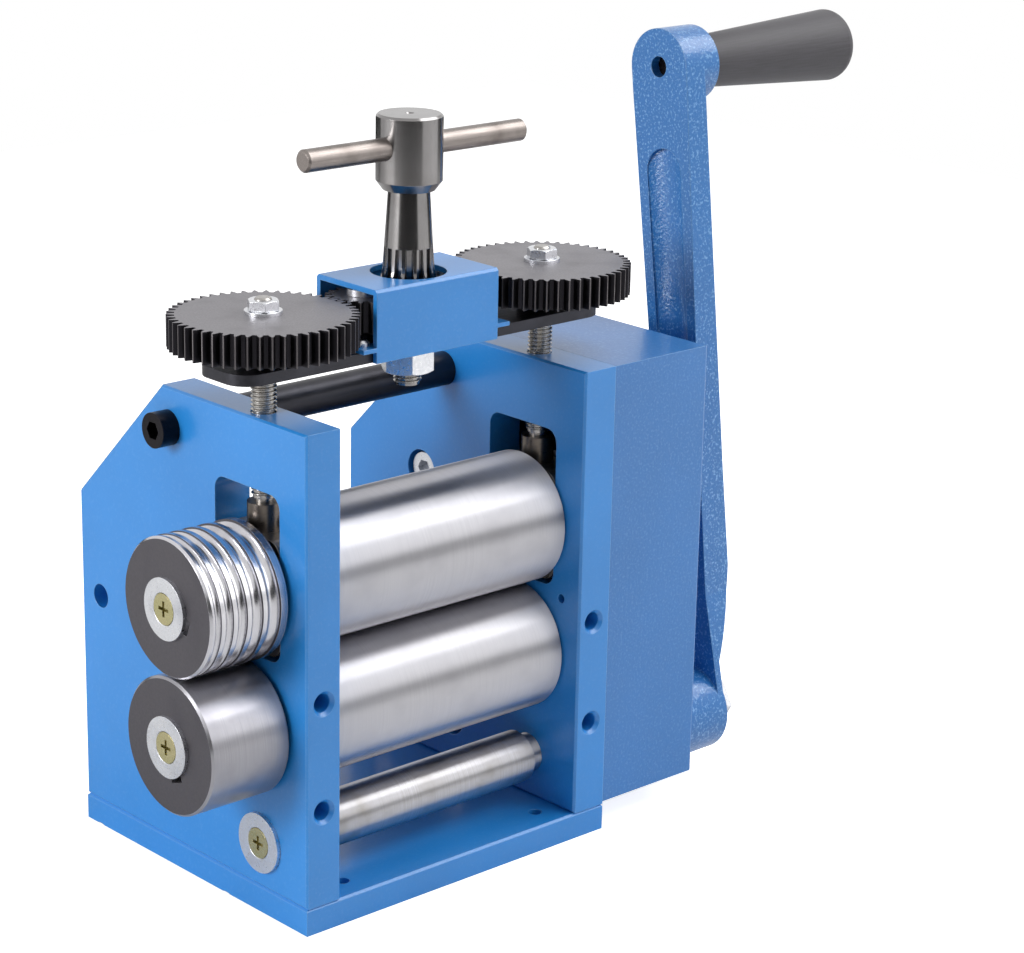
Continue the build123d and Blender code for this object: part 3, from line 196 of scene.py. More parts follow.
def enamel(name, colour, speckle_and_edge_highlight_colour, speckle, dimple_size, dimple_depth, roughness):
    """Stoved enamel sprayed over cast and milled iron.

    The clear top of the film is glossy and gives a soft pale reflection of the room, and the ripple
    of the dried film breaks it up. The edges are painted paler: a painted highlight where they catch
    the light. In hammered enamel the metal flake gathers in dimples, which read as small light dots.
    """
    material, tree = new_material(name)
    place = add_node(tree, "ShaderNodeTexCoord").outputs["Object"]
    # Patches about 60 mm wide, as the spray gun leaves them.
    patches = add_node(tree, "ShaderNodeTexNoise", values={"Scale": 1 / (60 * MM), "Detail": 3.0},
                       links={"Vector": place})
    tone = add_node(tree, "ShaderNodeMapRange",
                    values={"From Min": 0.3, "From Max": 0.7, "To Min": 0.93, "To Max": 1.05},
                    links={"Value": patches.outputs["Fac"]})
    body = add_node(tree, "ShaderNodeMix", {"data_type": "RGBA", "blend_type": "MULTIPLY"},
                    {"Factor": 1.0, "A": rgba(colour)}, {"B": tone.outputs["Result"]})
    # Painted highlight: the last 0.5 mm before an edge is painted paler, as where an edge catches the light.
    rounded = add_node(tree, "ShaderNodeBevel", {"samples": 6}, {"Radius": 0.45 * MM})
    flat = add_node(tree, "ShaderNodeNewGeometry")
    facing = add_node(tree, "ShaderNodeVectorMath", {"operation": "DOT_PRODUCT"},
                      links={0: rounded.outputs["Normal"], 1: flat.outputs["Normal"]})
    edge_highlight = add_node(tree, "ShaderNodeMapRange",
                    values={"From Min": 0.995, "From Max": 0.9, "To Min": 0.0, "To Max": 0.35},
                    links={"Value": facing.outputs["Value"]})
    edge_highlighted_body = add_node(tree, "ShaderNodeMix", {"data_type": "RGBA"}, {"B": rgba(speckle_and_edge_highlight_colour)},
                     {"Factor": edge_highlight.outputs["Result"], "A": body.outputs["Result"]})
    # Dots are a little smaller than the dimples that they lie in.
    flakes = add_node(tree, "ShaderNodeTexNoise",
                      values={"Scale": 1 / (0.8 * dimple_size), "Detail": 1.0, "Roughness": 0.6},
                      links={"Vector": place})
    dots = add_node(tree, "ShaderNodeMapRange",
                    values={"From Min": 0.54, "From Max": 0.72, "To Min": 0.0, "To Max": speckle},
                    links={"Value": flakes.outputs["Fac"]})
    skin = add_node(tree, "ShaderNodeMix", {"data_type": "RGBA"}, {"B": rgba(speckle_and_edge_highlight_colour)},
                    {"Factor": dots.outputs["Result"], "A": edge_highlighted_body.outputs["Result"]})
    ripple = add_node(tree, "ShaderNodeTexNoise", values={"Scale": 1 / dimple_size, "Detail": 1.5},
                      links={"Vector": place})
    bump = add_node(tree, "ShaderNodeBump", values={"Strength": 0.6, "Distance": dimple_depth},
                    links={"Height": ripple.outputs["Fac"], "Normal": rounded.outputs["Normal"]})
    shader = add_node(tree, "ShaderNodeBsdfPrincipled",
                      values={"Roughness": roughness, "IOR": 1.5, "Coat Weight": 0.4, "Coat Roughness": 0.16,
                              "Coat IOR": 1.5},
                      links={"Base Color": skin.outputs["Result"], "Normal": bump.outputs["Normal"],
                             "Coat Normal": bump.outputs["Normal"]})
    add_node(tree, "ShaderNodeOutputMaterial", links={"Surface": shader.outputs["BSDF"]})
    return material


def metal(name, colour, shade, roughness, spread, grain, depth, anisotropy=0.0, edge_radius=0.25 * MM,
          octaves=4.0):
    """Machined or plated metal, with its tool marks and slight stains.

    grain is the size of one tool mark along x, y and z, so a long size along the cut gives lines.
    depth is how deep a mark is, and octaves how finely it breaks up. shade is the colour of stains
    and worn marks, and spread how far the roughness wanders from its mean. anisotropy is for what
    was turned or ground around the X axis: it draws the highlight out along that axis.
    """
    material, tree = new_material(name)
    place = add_node(tree, "ShaderNodeTexCoord").outputs["Object"]
    stretch = add_node(tree, "ShaderNodeMapping", {"vector_type": "POINT"},
                       {"Scale": tuple(1 / size for size in grain)}, {"Vector": place})
    marks = add_node(tree, "ShaderNodeTexNoise", values={"Scale": 1.0, "Detail": octaves, "Roughness": 0.6},
                     links={"Vector": stretch.outputs["Vector"]})
    # Stains about 14 mm wide, where hands and oil have been.
    stains = add_node(tree, "ShaderNodeTexNoise", values={"Scale": 1 / (14 * MM), "Detail": 4.0},
                      links={"Vector": place})
    blotch = add_node(tree, "ShaderNodeMapRange", values={"From Min": 0.42, "From Max": 0.78},
                      links={"Value": stains.outputs["Fac"]})
    line = add_node(tree, "ShaderNodeMapRange",
                    values={"From Min": 0.3, "From Max": 0.7, "To Min": 0.0, "To Max": 0.45},
                    links={"Value": marks.outputs["Fac"]})
    worn = add_node(tree, "ShaderNodeMath", {"operation": "MAXIMUM", "use_clamp": True},
                    links={0: blotch.outputs["Result"], 1: line.outputs["Result"]})
    skin = add_node(tree, "ShaderNodeMix", {"data_type": "RGBA"}, {"A": rgba(colour), "B": rgba(shade)},
                    {"Factor": worn.outputs["Value"]})
    gloss = add_node(tree, "ShaderNodeMapRange",
                     values={"From Min": 0.3, "From Max": 0.7, "To Min": roughness - spread,
                             "To Max": roughness + spread},
                     links={"Value": marks.outputs["Fac"]})
    rounded = add_node(tree, "ShaderNodeBevel", {"samples": 4}, {"Radius": edge_radius})
    bump = add_node(tree, "ShaderNodeBump", values={"Strength": 0.5, "Distance": depth},
                    links={"Height": marks.outputs["Fac"], "Normal": rounded.outputs["Normal"]})
    values = {"Metallic": 1.0}
    links = {"Base Color": skin.outputs["Result"], "Roughness": gloss.outputs["Result"],
             "Normal": bump.outputs["Normal"]}
    if anisotropy:
        # The tangent runs around the axis, as the tool does. A quarter turn from it, across the
        # marks, the highlight spreads.
        values["Anisotropic"] = anisotropy
        values["Anisotropic Rotation"] = 0.25
        around = add_node(tree, "ShaderNodeTangent", {"direction_type": "RADIAL", "axis": "X"})
        links["Tangent"] = around.outputs["Tangent"]
    shader = add_node(tree, "ShaderNodeBsdfPrincipled", values=values, links=links)
    add_node(tree, "ShaderNodeOutputMaterial", links={"Surface": shader.outputs["BSDF"]})
    return material


def moulded_rubber(name, colour, grain):
    """Moulded rubber of the hand grip: a dull dark skin with a broad soft highlight.

    The mould's grain breaks the highlight up, and faint lines run along the grip from the mould's
    polishing.
    """
    material, tree = new_material(name)
    place = add_node(tree, "ShaderNodeTexCoord").outputs["Object"]
    pores = add_node(tree, "ShaderNodeTexVoronoi", {"feature": "SMOOTH_F1"}, {"Scale": 1 / grain},
                     {"Vector": place})
    # Lines 25 mm long and 0.7 mm wide, along the grip's own axis.
    stretch = add_node(tree, "ShaderNodeMapping",
                       values={"Scale": (1 / (25 * MM), 1 / (0.7 * MM), 1 / (0.7 * MM))},
                       links={"Vector": place})
    lines = add_node(tree, "ShaderNodeTexNoise", values={"Scale": 1.0, "Detail": 3.0},
                     links={"Vector": stretch.outputs["Vector"]})
    tone = add_node(tree, "ShaderNodeMapRange",
                    values={"From Min": 0.35, "From Max": 0.7, "To Min": 0.85, "To Max": 1.5},
                    links={"Value": lines.outputs["Fac"]})
    skin = add_node(tree, "ShaderNodeMix", {"data_type": "RGBA", "blend_type": "MULTIPLY"},
                    {"Factor": 1.0, "A": rgba(colour)}, {"B": tone.outputs["Result"]})
    gloss = add_node(tree, "ShaderNodeMapRange", values={"To Min": 0.5, "To Max": 0.66},
                     links={"Value": lines.outputs["Fac"]})
    height = add_node(tree, "ShaderNodeMath", {"operation": "ADD"},
                      links={0: pores.outputs["Distance"], 1: lines.outputs["Fac"]})
    bump = add_node(tree, "ShaderNodeBump", values={"Strength": 0.35, "Distance": 0.05 * MM},
                    links={"Height": height.outputs["Value"]})
    shader = add_node(tree, "ShaderNodeBsdfPrincipled",
                      values={"IOR": 1.52, "Sheen Weight": 0.15, "Sheen Roughness": 0.5},
                      links={"Base Color": skin.outputs["Result"], "Roughness": gloss.outputs["Result"],
                             "Normal": bump.outputs["Normal"]})
    add_node(tree, "ShaderNodeOutputMaterial", links={"Surface": shader.outputs["BSDF"]})
    return material


def dress(names, material):
    """Gives each named CAD piece one material all over."""
    for name in names:
        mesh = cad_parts[name].data
        mesh.materials.clear()
        mesh.materials.append(material)
        for face in mesh.polygons:
            face.material_index = 0


def dress_faces(names, material, chosen):
    """Adds a second material to the faces of the named CAD pieces that chosen picks."""
    for name in names:
        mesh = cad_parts[name].data
        mesh.materials.append(material)
        for face in mesh.polygons:
            if chosen(face):
                face.material_index = len(mesh.materials) - 1


# ---------------------------------------------------------------- pieces of the mill


class MILL_OT_enamel_bodies(bpy.types.Operator):
    """Enamels the base, the side plates, the gear case, the pinion cover and the crank arm"""

    bl_idname = "mill.enamel_bodies"
    bl_label = "Enamelled bodies"

    def execute(self, context):
        paint = context.scene.mill_enamel
        # Smooth stoved enamel on milled plate: an even blue with a light orange peel.
        smooth = enamel("smooth_blue_enamel", paint.plate_colour, paint.speckle_and_edge_highlight_colour, speckle=0.05,
                        dimple_size=paint.peel, dimple_depth=0.05 * MM, roughness=0.36)
        dress(["base_plate", "left_plate", "right_plate", "pinion_cover"], smooth)
        # Fine hammered enamel on the cast gear case: greyer, with a few dots.
        case = enamel("hammered_blue_enamel", paint.case_colour, paint.speckle_and_edge_highlight_colour, speckle=0.14,
                      dimple_size=paint.hammer, dimple_depth=0.12 * MM, roughness=0.38)
        dress(["gearbox_case"], case)
        # Coarse hammered enamel on the cast crank arm: many light dots.
        arm = enamel("coarse_hammered_enamel", paint.arm_colour, paint.speckle_and_edge_highlight_colour, speckle=0.5,
                     dimple_size=paint.hammer, dimple_depth=0.3 * MM, roughness=0.34)
        dress(["crank_arm"], arm)
        return {"FINISHED"}


class MILL_OT_rolls(bpy.types.Operator):
    """Finishes the two flat rolls and the guide bar in front of them"""

    bl_idname = "mill.rolls"
    bl_label = "Rolls and guide bar"

    def execute(self, context):
        steel = context.scene.mill_steel
        # Hardened steel ground on centres: lines 0.12 mm apart run around the roll and draw its
        # highlights out into satin bands. They are drawn 0.8 mm apart to show.
        ground = metal("ground_roll_steel", steel.roll_colour, linear("c6c5ca"), 0.47, 0.01,
                       (0.8 * MM, 500 * MM, 500 * MM), 0.0004 * MM, anisotropy=1.0, octaves=1.5)
        dress(["lower_roll", "upper_roll"], ground)
        # Drawn bar, turned to length: a little duller than the rolls, with its lines drawn 0.6 mm
        # apart to show.
        drawn = metal("drawn_bar_steel", steel.roll_colour, linear("aca7a1"), 0.45, 0.02,
                      (0.6 * MM, 500 * MM, 500 * MM), 0.0005 * MM, anisotropy=1.0, octaves=1.5)
        dress(["guide_bar"], drawn)
        return {"FINISHED"}


class MILL_OT_side_rolls(bpy.types.Operator):
    """Finishes the grooved and the plain side roll, bright around and grey on their ends"""

    bl_idname = "mill.side_rolls"
    bl_label = "Side rolls"

    def execute(self, context):
        steel = context.scene.mill_steel
        # Turned steel: a dull satin, with tool lines 0.1 mm apart around it. They are drawn 0.5 mm
        # apart to show. Its colour is painted darker than the same steel on the grooved roll: painted shade.
        turned = metal("turned_roll_steel_painted_shade", linear("a3a2a7"), linear("8d8c92"), 0.34, 0.03,
                       (0.5 * MM, 500 * MM, 500 * MM), 0.001 * MM, anisotropy=0.8, octaves=1.5)
        # The end faces keep the grey skin of hardening: matt, with faint lathe rings.
        skin = metal("hardened_grey_steel", steel.face_colour, linear("525055"), 0.5, 0.06,
                     (6 * MM, 0.9 * MM, 0.9 * MM), 0.01 * MM)
        dress(["lower_side_roll"], turned)
        # The grooves that draw wire are polished by it and smoother, with sharper highlights; their colour is
        # the rolls' own steel, lighter than the painted shade on the plain roll.
        grooved = metal("wire_polished_steel", steel.roll_colour, linear("b3b2b8"), 0.24, 0.04,
                        (0.5 * MM, 500 * MM, 500 * MM), 0.002 * MM, anisotropy=0.4, octaves=1.5)
        dress(["upper_side_roll"], grooved)
        dress_faces(["upper_side_roll", "lower_side_roll"], skin, lambda face: abs(face.normal.x) > 0.95)
        return {"FINISHED"}


class MILL_OT_lift_gears(bpy.types.Operator):
    """Finishes the spur gears above the plates, grey on top and black in the teeth"""

    bl_idname = "mill.lift_gears"
    bl_label = "Lift gears"

    def execute(self, context):
        steel = context.scene.mill_steel
        gears = ["left_lift_gear", "right_lift_gear", "left_idler_gear", "right_idler_gear"]
        # Black oxide on cut teeth: oily black with a dull shine on the lands.
        black = metal("black_oxide_teeth", steel.oxide_colour, linear("343236"), 0.42, 0.08,
                      (3 * MM, 3 * MM, 0.5 * MM), 0.02 * MM)
        # The lands on the tooth tips are painted a lighter grey: a painted highlight where they catch the
        # light.
        land_highlight = metal("tooth_lands_painted_highlight", linear("6a6668"), linear("4c494b"), 0.45, 0.06,
                     (0.6 * MM, 0.6 * MM, 4 * MM), 0.01 * MM)
        # Faces ground after blackening: even matt grey with fine swirls.
        grey = metal("lapped_gear_steel", steel.gear_colour, linear("78767a"), 0.48, 0.05,
                     (0.7 * MM, 0.7 * MM, 3 * MM), 0.008 * MM)
        dress(gears, black)
        for gear in gears:
            low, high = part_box(gear)
            middle = (low + high) / 2
            tip = (high.x - low.x) / 2
            dress_faces([gear], land_highlight, lambda face: (face.center - middle).to_2d().length > tip - 0.35 * MM)
        dress_faces(gears, grey, lambda face: abs(face.normal.z) > 0.95)
        return {"FINISHED"}


class MILL_OT_drive_gears(bpy.types.Operator):
    """Finishes the gears, keys and rings in the gear case"""

    bl_idname = "mill.drive_gears"
    bl_label = "Drive gears"

    def execute(self, context):
        steel = context.scene.mill_steel
        # Hobbed carbon steel, left oiled: mid grey with lines along the teeth.
        hobbed = metal("hobbed_gear_steel", linear("8c8b8f"), linear("6f6a66"), 0.36, 0.07,
                       (5 * MM, 0.6 * MM, 0.6 * MM), 0.015 * MM)
        dress(["lower_roll_gear", "upper_roll_gear", "reduction_gear", "drive_idler_gear"], hobbed)
        # Spring steel rings and cut keys, blued to a dark grey.
        blued = metal("blued_spring_steel", steel.oxide_colour, linear("4a4a52"), 0.4, 0.06,
                      (1.5 * MM, 1.5 * MM, 1.5 * MM), 0.01 * MM)
        dress(["lower_gear_ring", "upper_gear_ring", "drive_idler_ring", "lower_roll_keys", "upper_roll_keys",
               "crank_key"], blued)
        return {"FINISHED"}


class MILL_OT_screw_down(bpy.types.Operator):
    """Finishes the T-handle, the pressing screws, the bearing blocks and their caps"""

    bl_idname = "mill.screw_down"
    bl_label = "Handle and bearings"

    def execute(self, context):
        steel = context.scene.mill_steel
        # Dark steel, turned and polished: bright lines of light stand along it.
        polished = metal("polished_dark_steel", steel.handle_colour, linear("7c7978"), 0.18, 0.02,
                         (9 * MM, 9 * MM, 0.4 * MM), 0.003 * MM)
        dress(["t_shaft"], polished)
        # Drawn steel with a brown tinge, scratched along its length.
        brown = metal("drawn_brown_steel", steel.bar_colour, linear("675f5b"), 0.34, 0.08,
                      (14 * MM, 0.5 * MM, 0.5 * MM), 0.02 * MM)
        dress(["tommy_bar"], brown)
        # Rolled screw steel, oiled: mid grey.
        screw = metal("oiled_screw_steel", linear("aeacaa"), linear("8b857e"), 0.3, 0.08,
                      (2 * MM, 2 * MM, 0.4 * MM), 0.01 * MM)
        dress(["left_lift_screw", "right_lift_screw"], screw)
        # Milled blocks and turned caps, brownish with oil.
        milled = metal("milled_block_steel", linear("8f8a86"), linear("6f6862"), 0.36, 0.06,
                       (0.8 * MM, 6 * MM, 6 * MM), 0.012 * MM)
        dress(["left_bearing_block", "right_bearing_block"], milled)
        caps = metal("oiled_cap_steel", linear("756d66"), linear("565049"), 0.32, 0.06,
                     (3 * MM, 3 * MM, 0.5 * MM), 0.012 * MM)
        dress(["pressing_caps"], caps)
        return {"FINISHED"}


class MILL_OT_bars(bpy.types.Operator):
    """Finishes the black bridge bar and tie rod, and the crank shaft with its pins and bushes"""

    bl_idname = "mill.bars"
    bl_label = "Bars and shafts"

    def execute(self, context):
        steel = context.scene.mill_steel
        # Mill scale blackened in oil: near black, with rolling marks along the bar.
        scale = metal("blackened_bar_steel", linear("38383c"), linear("46464c"), 0.4, 0.07,
                      (12 * MM, 1.2 * MM, 1.2 * MM), 0.02 * MM)
        dress(["bridge_bar", "tie_rod"], scale)
        # Bright drawn shafting.
        bright = metal("bright_shaft_steel", linear("b4b3b6"), linear("8f8d8e"), 0.28, 0.05,
                       (0.5 * MM, 8 * MM, 8 * MM), 0.01 * MM)
        dress(["crank_shaft", "drive_idler_shaft", "grip_pin"], bright)
        # The pin's riveted end sits deep in the arm and is painted near black: painted shade in the recess.
        pin_end_shade = metal("pin_end_painted_shade", linear("2a2728"), linear("171516"), 0.3, 0.1,
                     (0.8 * MM, 0.8 * MM, 0.8 * MM), 0.03 * MM)
        dress_faces(["grip_pin"], pin_end_shade, lambda face: face.normal.x < -0.5 and face.center.x < 0.15)
        # Sintered bearing bronze: warm, dull and finely porous.
        bush = metal("bearing_bronze", steel.bronze_colour, linear("8a6a3e"), 0.42, 0.06,
                     (0.5 * MM, 0.5 * MM, 0.5 * MM), 0.01 * MM)
        dress(["lower_bushes", "crank_bushes"], bush)
        return {"FINISHED"}


class MILL_OT_fasteners(bpy.types.Operator):
    """Finishes the screws, nuts and washers in zinc, yellow zinc and black oxide"""

    bl_idname = "mill.fasteners"
    bl_label = "Fasteners"

    def execute(self, context):
        steel = context.scene.mill_steel
        # Clear-passivated zinc over stamped steel: pale and softly bright.
        zinc = metal("clear_zinc_plate", steel.zinc_colour, linear("b9bbc2"), 0.3, 0.07,
                     (1.2 * MM, 1.2 * MM, 1.2 * MM), 0.012 * MM)
        dress(["left_gear_washer", "right_gear_washer", "left_gear_nut", "right_gear_nut", "t_washer",
               "t_nut", "idler_pins", "crank_washer", "crank_nut", "cover_screws", "guide_bar_washer",
               "upper_side_washer", "lower_side_washer", "gearbox_screws"], zinc)
        # Yellow chromate over zinc: straw gold that drifts to green.
        yellow = metal("yellow_zinc_plate", steel.yellow_colour, linear("a9a878"), 0.28, 0.06,
                       (1.0 * MM, 1.0 * MM, 1.0 * MM), 0.01 * MM)
        dress(["upper_side_screw", "lower_side_screw", "guide_bar_screw"], yellow)
        # Black oxide on socket screws: deep black with a waxy shine.
        black = metal("black_oxide_screws", linear("1d1c1f"), linear("2e2c30"), 0.36, 0.08,
                      (1.0 * MM, 1.0 * MM, 1.0 * MM), 0.015 * MM)
        dress(["tie_rod_screws", "base_screws"], black)
        return {"FINISHED"}


def thread(name, centre, low, high, root, crest, pitch, body, material):
    """A right-hand screw thread as one helical ridge around a vertical core."""
    steps = 40
    turns = (high - low) / pitch - 1
    # The ridge's section, from its foot over its flat top to its other foot: radius below the root
    # or at the tip, and shift along the axis in pitches.
    sunk = 0.1 * MM
    foot, shoulder = 0.44, 0.09
    mesh = bpy.data.meshes.new(name)
    shape = bmesh.new()
    rows = []
    count = int(turns * steps)
    for step in range(count + 1):
        angle = 2 * math.pi * step / steps
        rise = low + pitch * 0.5 + pitch * step / steps
        # The ridge runs out over the last quarter turn at each end.
        fade = min(1.0, step / (steps / 4), (count - step) / (steps / 4))
        tip = root + (crest - root) * max(fade, 0.02)
        row = []
        for radius, shift in ((root - sunk, -foot), (tip, -shoulder), (tip, shoulder), (root - sunk, foot)):
            row.append(shape.verts.new((centre[0] + radius * math.cos(angle),
                                        centre[1] + radius * math.sin(angle), rise + shift * pitch)))
        rows.append(row)
    for near, far in zip(rows, rows[1:]):
        for place in range(4):
            after = (place + 1) % 4
            face = shape.faces.new((near[place], far[place], far[after], near[after]))
            face.smooth = True
    shape.faces.new(rows[0])
    shape.faces.new(list(reversed(rows[-1])))
    bmesh.ops.recalc_face_normals(shape, faces=shape.faces)
    shape.to_mesh(mesh)
    shape.free()
    mesh.set_sharp_from_angle(angle=math.radians(35))
    ridge = bpy.data.objects.new(name, mesh)
    bpy.context.scene.collection.objects.link(ridge)
    mesh.materials.append(material)
    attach(ridge, body)
    return ridge


class MILL_OT_threads(bpy.types.Operator):
    """Cuts the threads on the pressing screws and on the end of the T-shaft"""

    bl_idname = "mill.threads"
    bl_label = "Screw threads"

    def execute(self, context):
        size = context.scene.mill_thread
        # Rolled thread, bright on its crests and oily between them.
        rolled = metal("rolled_thread_steel", linear("b3b1ae"), linear("857f78"), 0.26, 0.06,
                       (1.5 * MM, 1.5 * MM, 0.4 * MM), 0.008 * MM, edge_radius=0.08 * MM)
        for side in ("left", "right"):
            low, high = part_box(f"{side}_lift_gear")
            centre = ((low.x + high.x) / 2, (low.y + high.y) / 2)
            bar_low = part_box("bridge_bar")[0].z
            cap_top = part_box("pressing_caps")[1].z
            thread(f"{side}_screw_thread", centre, SCREW_SHOWS_ABOVE, bar_low, size.screw_root,
                   size.screw_crest, size.screw_pitch, f"{side}_screw", rolled)
            thread(f"{side}_screw_tip_thread", centre, cap_top + CAP_CLEARANCE, SCREW_SHOWS_BELOW,
                   size.screw_root, size.screw_crest, size.screw_pitch, f"{side}_screw", rolled)
        low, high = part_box("t_washer")
        centre = ((low.x + high.x) / 2, (low.y + high.y) / 2)
        thread("t_stub_thread", centre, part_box("t_shaft")[0].z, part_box("t_nut")[0].z + NUT_COVER,
               size.stub_root, size.stub_crest, size.stub_pitch, "t_handle", rolled)
        return {"FINISHED"}


class MILL_OT_grip(bpy.types.Operator):
    """Finishes the turning hand grip"""

    bl_idname = "mill.grip"
    bl_label = "Hand grip"

    def execute(self, context):
        grip = context.scene.mill_grip
        dress(["grip"], moulded_rubber("moulded_grip_rubber", grip.rubber_colour, grip.grain))
        return {"FINISHED"}


# ---------------------------------------------------------------- stage


def softbox(name, place, target, width, height, power):
    """A soft rectangular lamp that faces the target."""
    lamp = bpy.data.lights.new(name, "AREA")
    lamp.shape = "RECTANGLE"
    lamp.size = width
    lamp.size_y = height
    lamp.energy = power
    holder = bpy.data.objects.new(name, lamp)
    bpy.context.scene.collection.objects.link(holder)
    holder.location = place
    holder.rotation_euler = (Vector(target) - Vector(place)).to_track_quat("-Z", "Y").to_euler()
    return holder


def standing_card(name, turn, spread, radius, height, material):
    """A card that stands on the floor in an arc around the mill."""
    steps = 24
    mesh = bpy.data.meshes.new(name)
    points = []
    for step in range(steps + 1):
        angle = turn + spread * (step / steps - 0.5)
        for level in (cad_low[2], cad_low[2] + height):
            points.append((radius * math.sin(angle), -radius * math.cos(angle), level))
    mesh.from_pydata(points, [], [(2 * n, 2 * n + 1, 2 * n + 3, 2 * n + 2) for n in range(steps)])
    mesh.materials.append(material)
    card = bpy.data.objects.new(name, mesh)
    bpy.context.scene.collection.objects.link(card)
    return card


def board(name, place, target, width, height, material):
    """A flat board that faces the target."""
    mesh = bpy.data.meshes.new(name)
    w, h = width / 2, height / 2
    mesh.from_pydata([(-w, -h, 0), (w, -h, 0), (w, h, 0), (-w, h, 0)], [], [(0, 1, 2, 3)])
    mesh.materials.append(material)
    panel = bpy.data.objects.new(name, mesh)
    bpy.context.scene.collection.objects.link(panel)
    panel.location = place
    panel.rotation_euler = (Vector(target) - Vector(place)).to_track_quat("Z", "Y").to_euler()
    return panel


class MILL_OT_stage(bpy.types.Operator):
    """Sets up the white floor, the white room and the soft lamps"""

    bl_idname = "mill.stage"
    bl_label = "Stage"

    def execute(self, context):
        stage = context.scene.mill_stage
        middle = (0.0, 0.0, 0.13)
        world = bpy.data.worlds.new("white_room")
        context.scene.world = world
        world.use_nodes = True
        tree = world.node_tree
        tree.nodes.clear()
        path = add_node(tree, "ShaderNodeLightPath")
        seen = add_node(tree, "ShaderNodeMath", {"operation": "MAXIMUM"},
                        links={0: path.outputs["Is Camera Ray"], 1: path.outputs["Is Glossy Ray"]})
        shown = add_node(tree, "ShaderNodeMath", {"operation": "MAXIMUM"},
                         links={0: seen.outputs["Value"], 1: path.outputs["Is Transmission Ray"]})
        strength = add_node(tree, "ShaderNodeMapRange", values={"To Min": stage.ambient, "To Max": 1.0},
                            links={"Value": shown.outputs["Value"]})
        sky = add_node(tree, "ShaderNodeBackground", values={"Color": (1, 1, 1, 1)},
                       links={"Strength": strength.outputs["Result"]})
        add_node(tree, "ShaderNodeOutputWorld", links={"Surface": sky.outputs["Background"]})

        # White paper: matt, with a faint fibre of 2 mm. What the camera sees of it is lifted to
        # white, and the mill's shadow stays on it.
        material, tree = new_material("white_studio_paper")
        place = add_node(tree, "ShaderNodeTexCoord").outputs["Object"]
        fibre = add_node(tree, "ShaderNodeTexNoise", values={"Scale": 1 / (2 * MM), "Detail": 3.0},
                         links={"Vector": place})
        bump = add_node(tree, "ShaderNodeBump", values={"Strength": 0.1, "Distance": 0.02 * MM},
                        links={"Height": fibre.outputs["Fac"]})
        paper = add_node(tree, "ShaderNodeBsdfPrincipled",
                         values={"Base Color": rgba(linear("f4f4f4")), "Roughness": 0.9},
                         links={"Normal": bump.outputs["Normal"]})
        path = add_node(tree, "ShaderNodeLightPath")
        lift = add_node(tree, "ShaderNodeMath", {"operation": "MULTIPLY"}, {1: 0.8},
                        {0: path.outputs["Is Camera Ray"]})
        glow = add_node(tree, "ShaderNodeEmission", values={"Color": (1, 1, 1, 1)},
                        links={"Strength": lift.outputs["Value"]})
        both = add_node(tree, "ShaderNodeAddShader",
                        links={0: paper.outputs["BSDF"], 1: glow.outputs["Emission"]})
        add_node(tree, "ShaderNodeOutputMaterial", links={"Surface": both.outputs["Shader"]})
        board("paper_floor", (0, 0, cad_low[2] - FLOOR_DROP), (0, 0, 1), width=2.4, height=2.4,
              material=material)

        # Lamps, in metres and watts. The overhead one draws the rolls' highlight along them.
        softbox("overhead_softbox", (0.9, -0.5, 1.1), (0.9, -0.5, 0), width=1.4, height=1.0, power=18)
        softbox("left_softbox", (-1.6, 0.32, 0.6), middle, width=0.7, height=0.8, power=24)
        softbox("front_softbox", (0.6, -1.7, 1.1), middle, width=1.5, height=1.3, power=10.5)

        # Black card, seen only in reflections: it draws the dark bands in the polished steel.
        card, tree = new_material("black_card")
        matt = add_node(tree, "ShaderNodeBsdfPrincipled",
                        values={"Base Color": rgba(linear("101010")), "Roughness": 1.0,
                                "Specular IOR Level": 0.0})
        add_node(tree, "ShaderNodeOutputMaterial", links={"Surface": matt.outputs["BSDF"]})
        # Name, turn around the mill, degrees of the arc and height of each card.
        for name, turn, degrees, height in (
            ("front_card", stage.azimuth, 94, 0.45),
            ("rear_card", stage.azimuth + math.pi, 136, 0.22),
        ):
            panel = standing_card(name, turn, math.radians(degrees), 1.3, height, card)
            panel.visible_camera = False
            panel.visible_diffuse = False
            panel.visible_shadow = False
            panel.visible_transmission = False
        return {"FINISHED"}


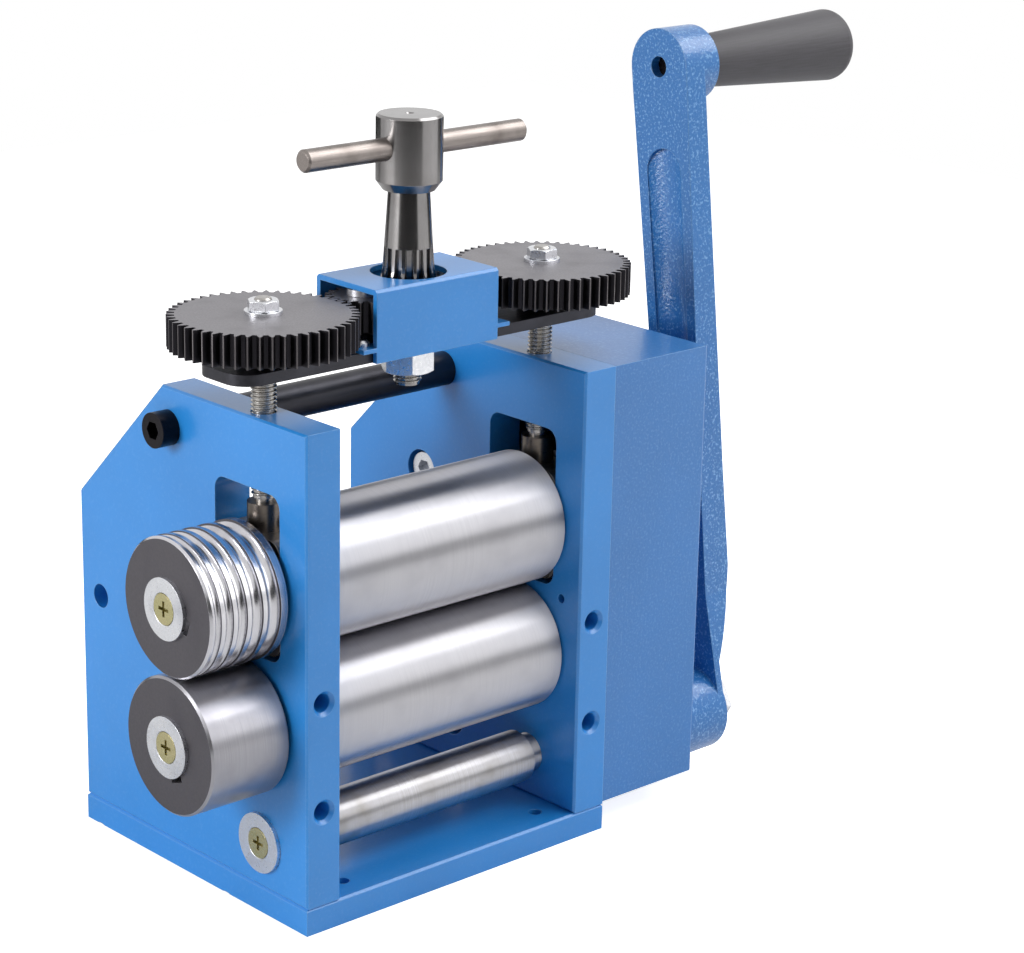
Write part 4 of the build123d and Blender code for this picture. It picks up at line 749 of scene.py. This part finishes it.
class MILL_OT_camera(bpy.types.Operator):
    """Places the camera at the catalogue view and sets the plain view transform"""

    bl_idname = "mill.camera"
    bl_label = "Camera"

    def execute(self, context):
        stage = context.scene.mill_stage
        a, e = stage.azimuth, stage.elevation
        back = Vector((math.sin(a) * math.cos(e), -math.cos(a) * math.cos(e), math.sin(e)))
        right = Vector((math.cos(a), math.sin(a), 0))
        up = back.cross(right)
        side = math.cos(stage.roll) * right + math.sin(stage.roll) * up
        top = math.cos(stage.roll) * up - math.sin(stage.roll) * right
        data = bpy.data.cameras.new("catalogue_camera")
        data.lens = stage.lens
        data.sensor_width = 36.0
        data.sensor_fit = "HORIZONTAL"
        data.clip_start = 0.05
        data.clip_end = 50.0
        camera = bpy.data.objects.new("catalogue_camera", data)
        context.scene.collection.objects.link(camera)
        where = Vector(stage.target) + back * stage.distance
        camera.matrix_world = Matrix.Translation(where) @ Matrix((side, top, back)).transposed().to_4x4()
        context.scene.camera = camera
        context.scene.view_settings.view_transform = "Standard"
        return {"FINISHED"}


class MILL_PT_panel(bpy.types.Panel):
    """Lists the steps that dress the rolling mill"""

    bl_idname = "MILL_PT_panel"
    bl_label = "Rolling mill"
    bl_space_type = "VIEW_3D"
    bl_region_type = "UI"
    bl_category = "Rolling mill"

    def draw(self, context):
        for name, group in SETTINGS.items():
            box = self.layout.box()
            for key in group.__annotations__:
                box.prop(getattr(context.scene, name), key)
        for step in STEPS:
            self.layout.operator(step.bl_idname)


STEPS = (
    MILL_OT_enamel_bodies,
    MILL_OT_rolls,
    MILL_OT_side_rolls,
    MILL_OT_lift_gears,
    MILL_OT_drive_gears,
    MILL_OT_screw_down,
    MILL_OT_bars,
    MILL_OT_fasteners,
    MILL_OT_threads,
    MILL_OT_grip,
    MILL_OT_stage,
    MILL_OT_camera,
)


def register():
    for item in (*SETTINGS.values(), *STEPS, MILL_PT_panel):
        bpy.utils.register_class(item)
    for name, group in SETTINGS.items():
        setattr(bpy.types.Scene, name, PointerProperty(type=group))


def unregister():
    for name in SETTINGS:
        delattr(bpy.types.Scene, name)
    for item in reversed((*SETTINGS.values(), *STEPS, MILL_PT_panel)):
        bpy.utils.unregister_class(item)


def main():
    register()
    for step in STEPS:
        family, action = step.bl_idname.split(".")
        getattr(getattr(bpy.ops, family), action)()


if __name__ == "__main__":
    main()
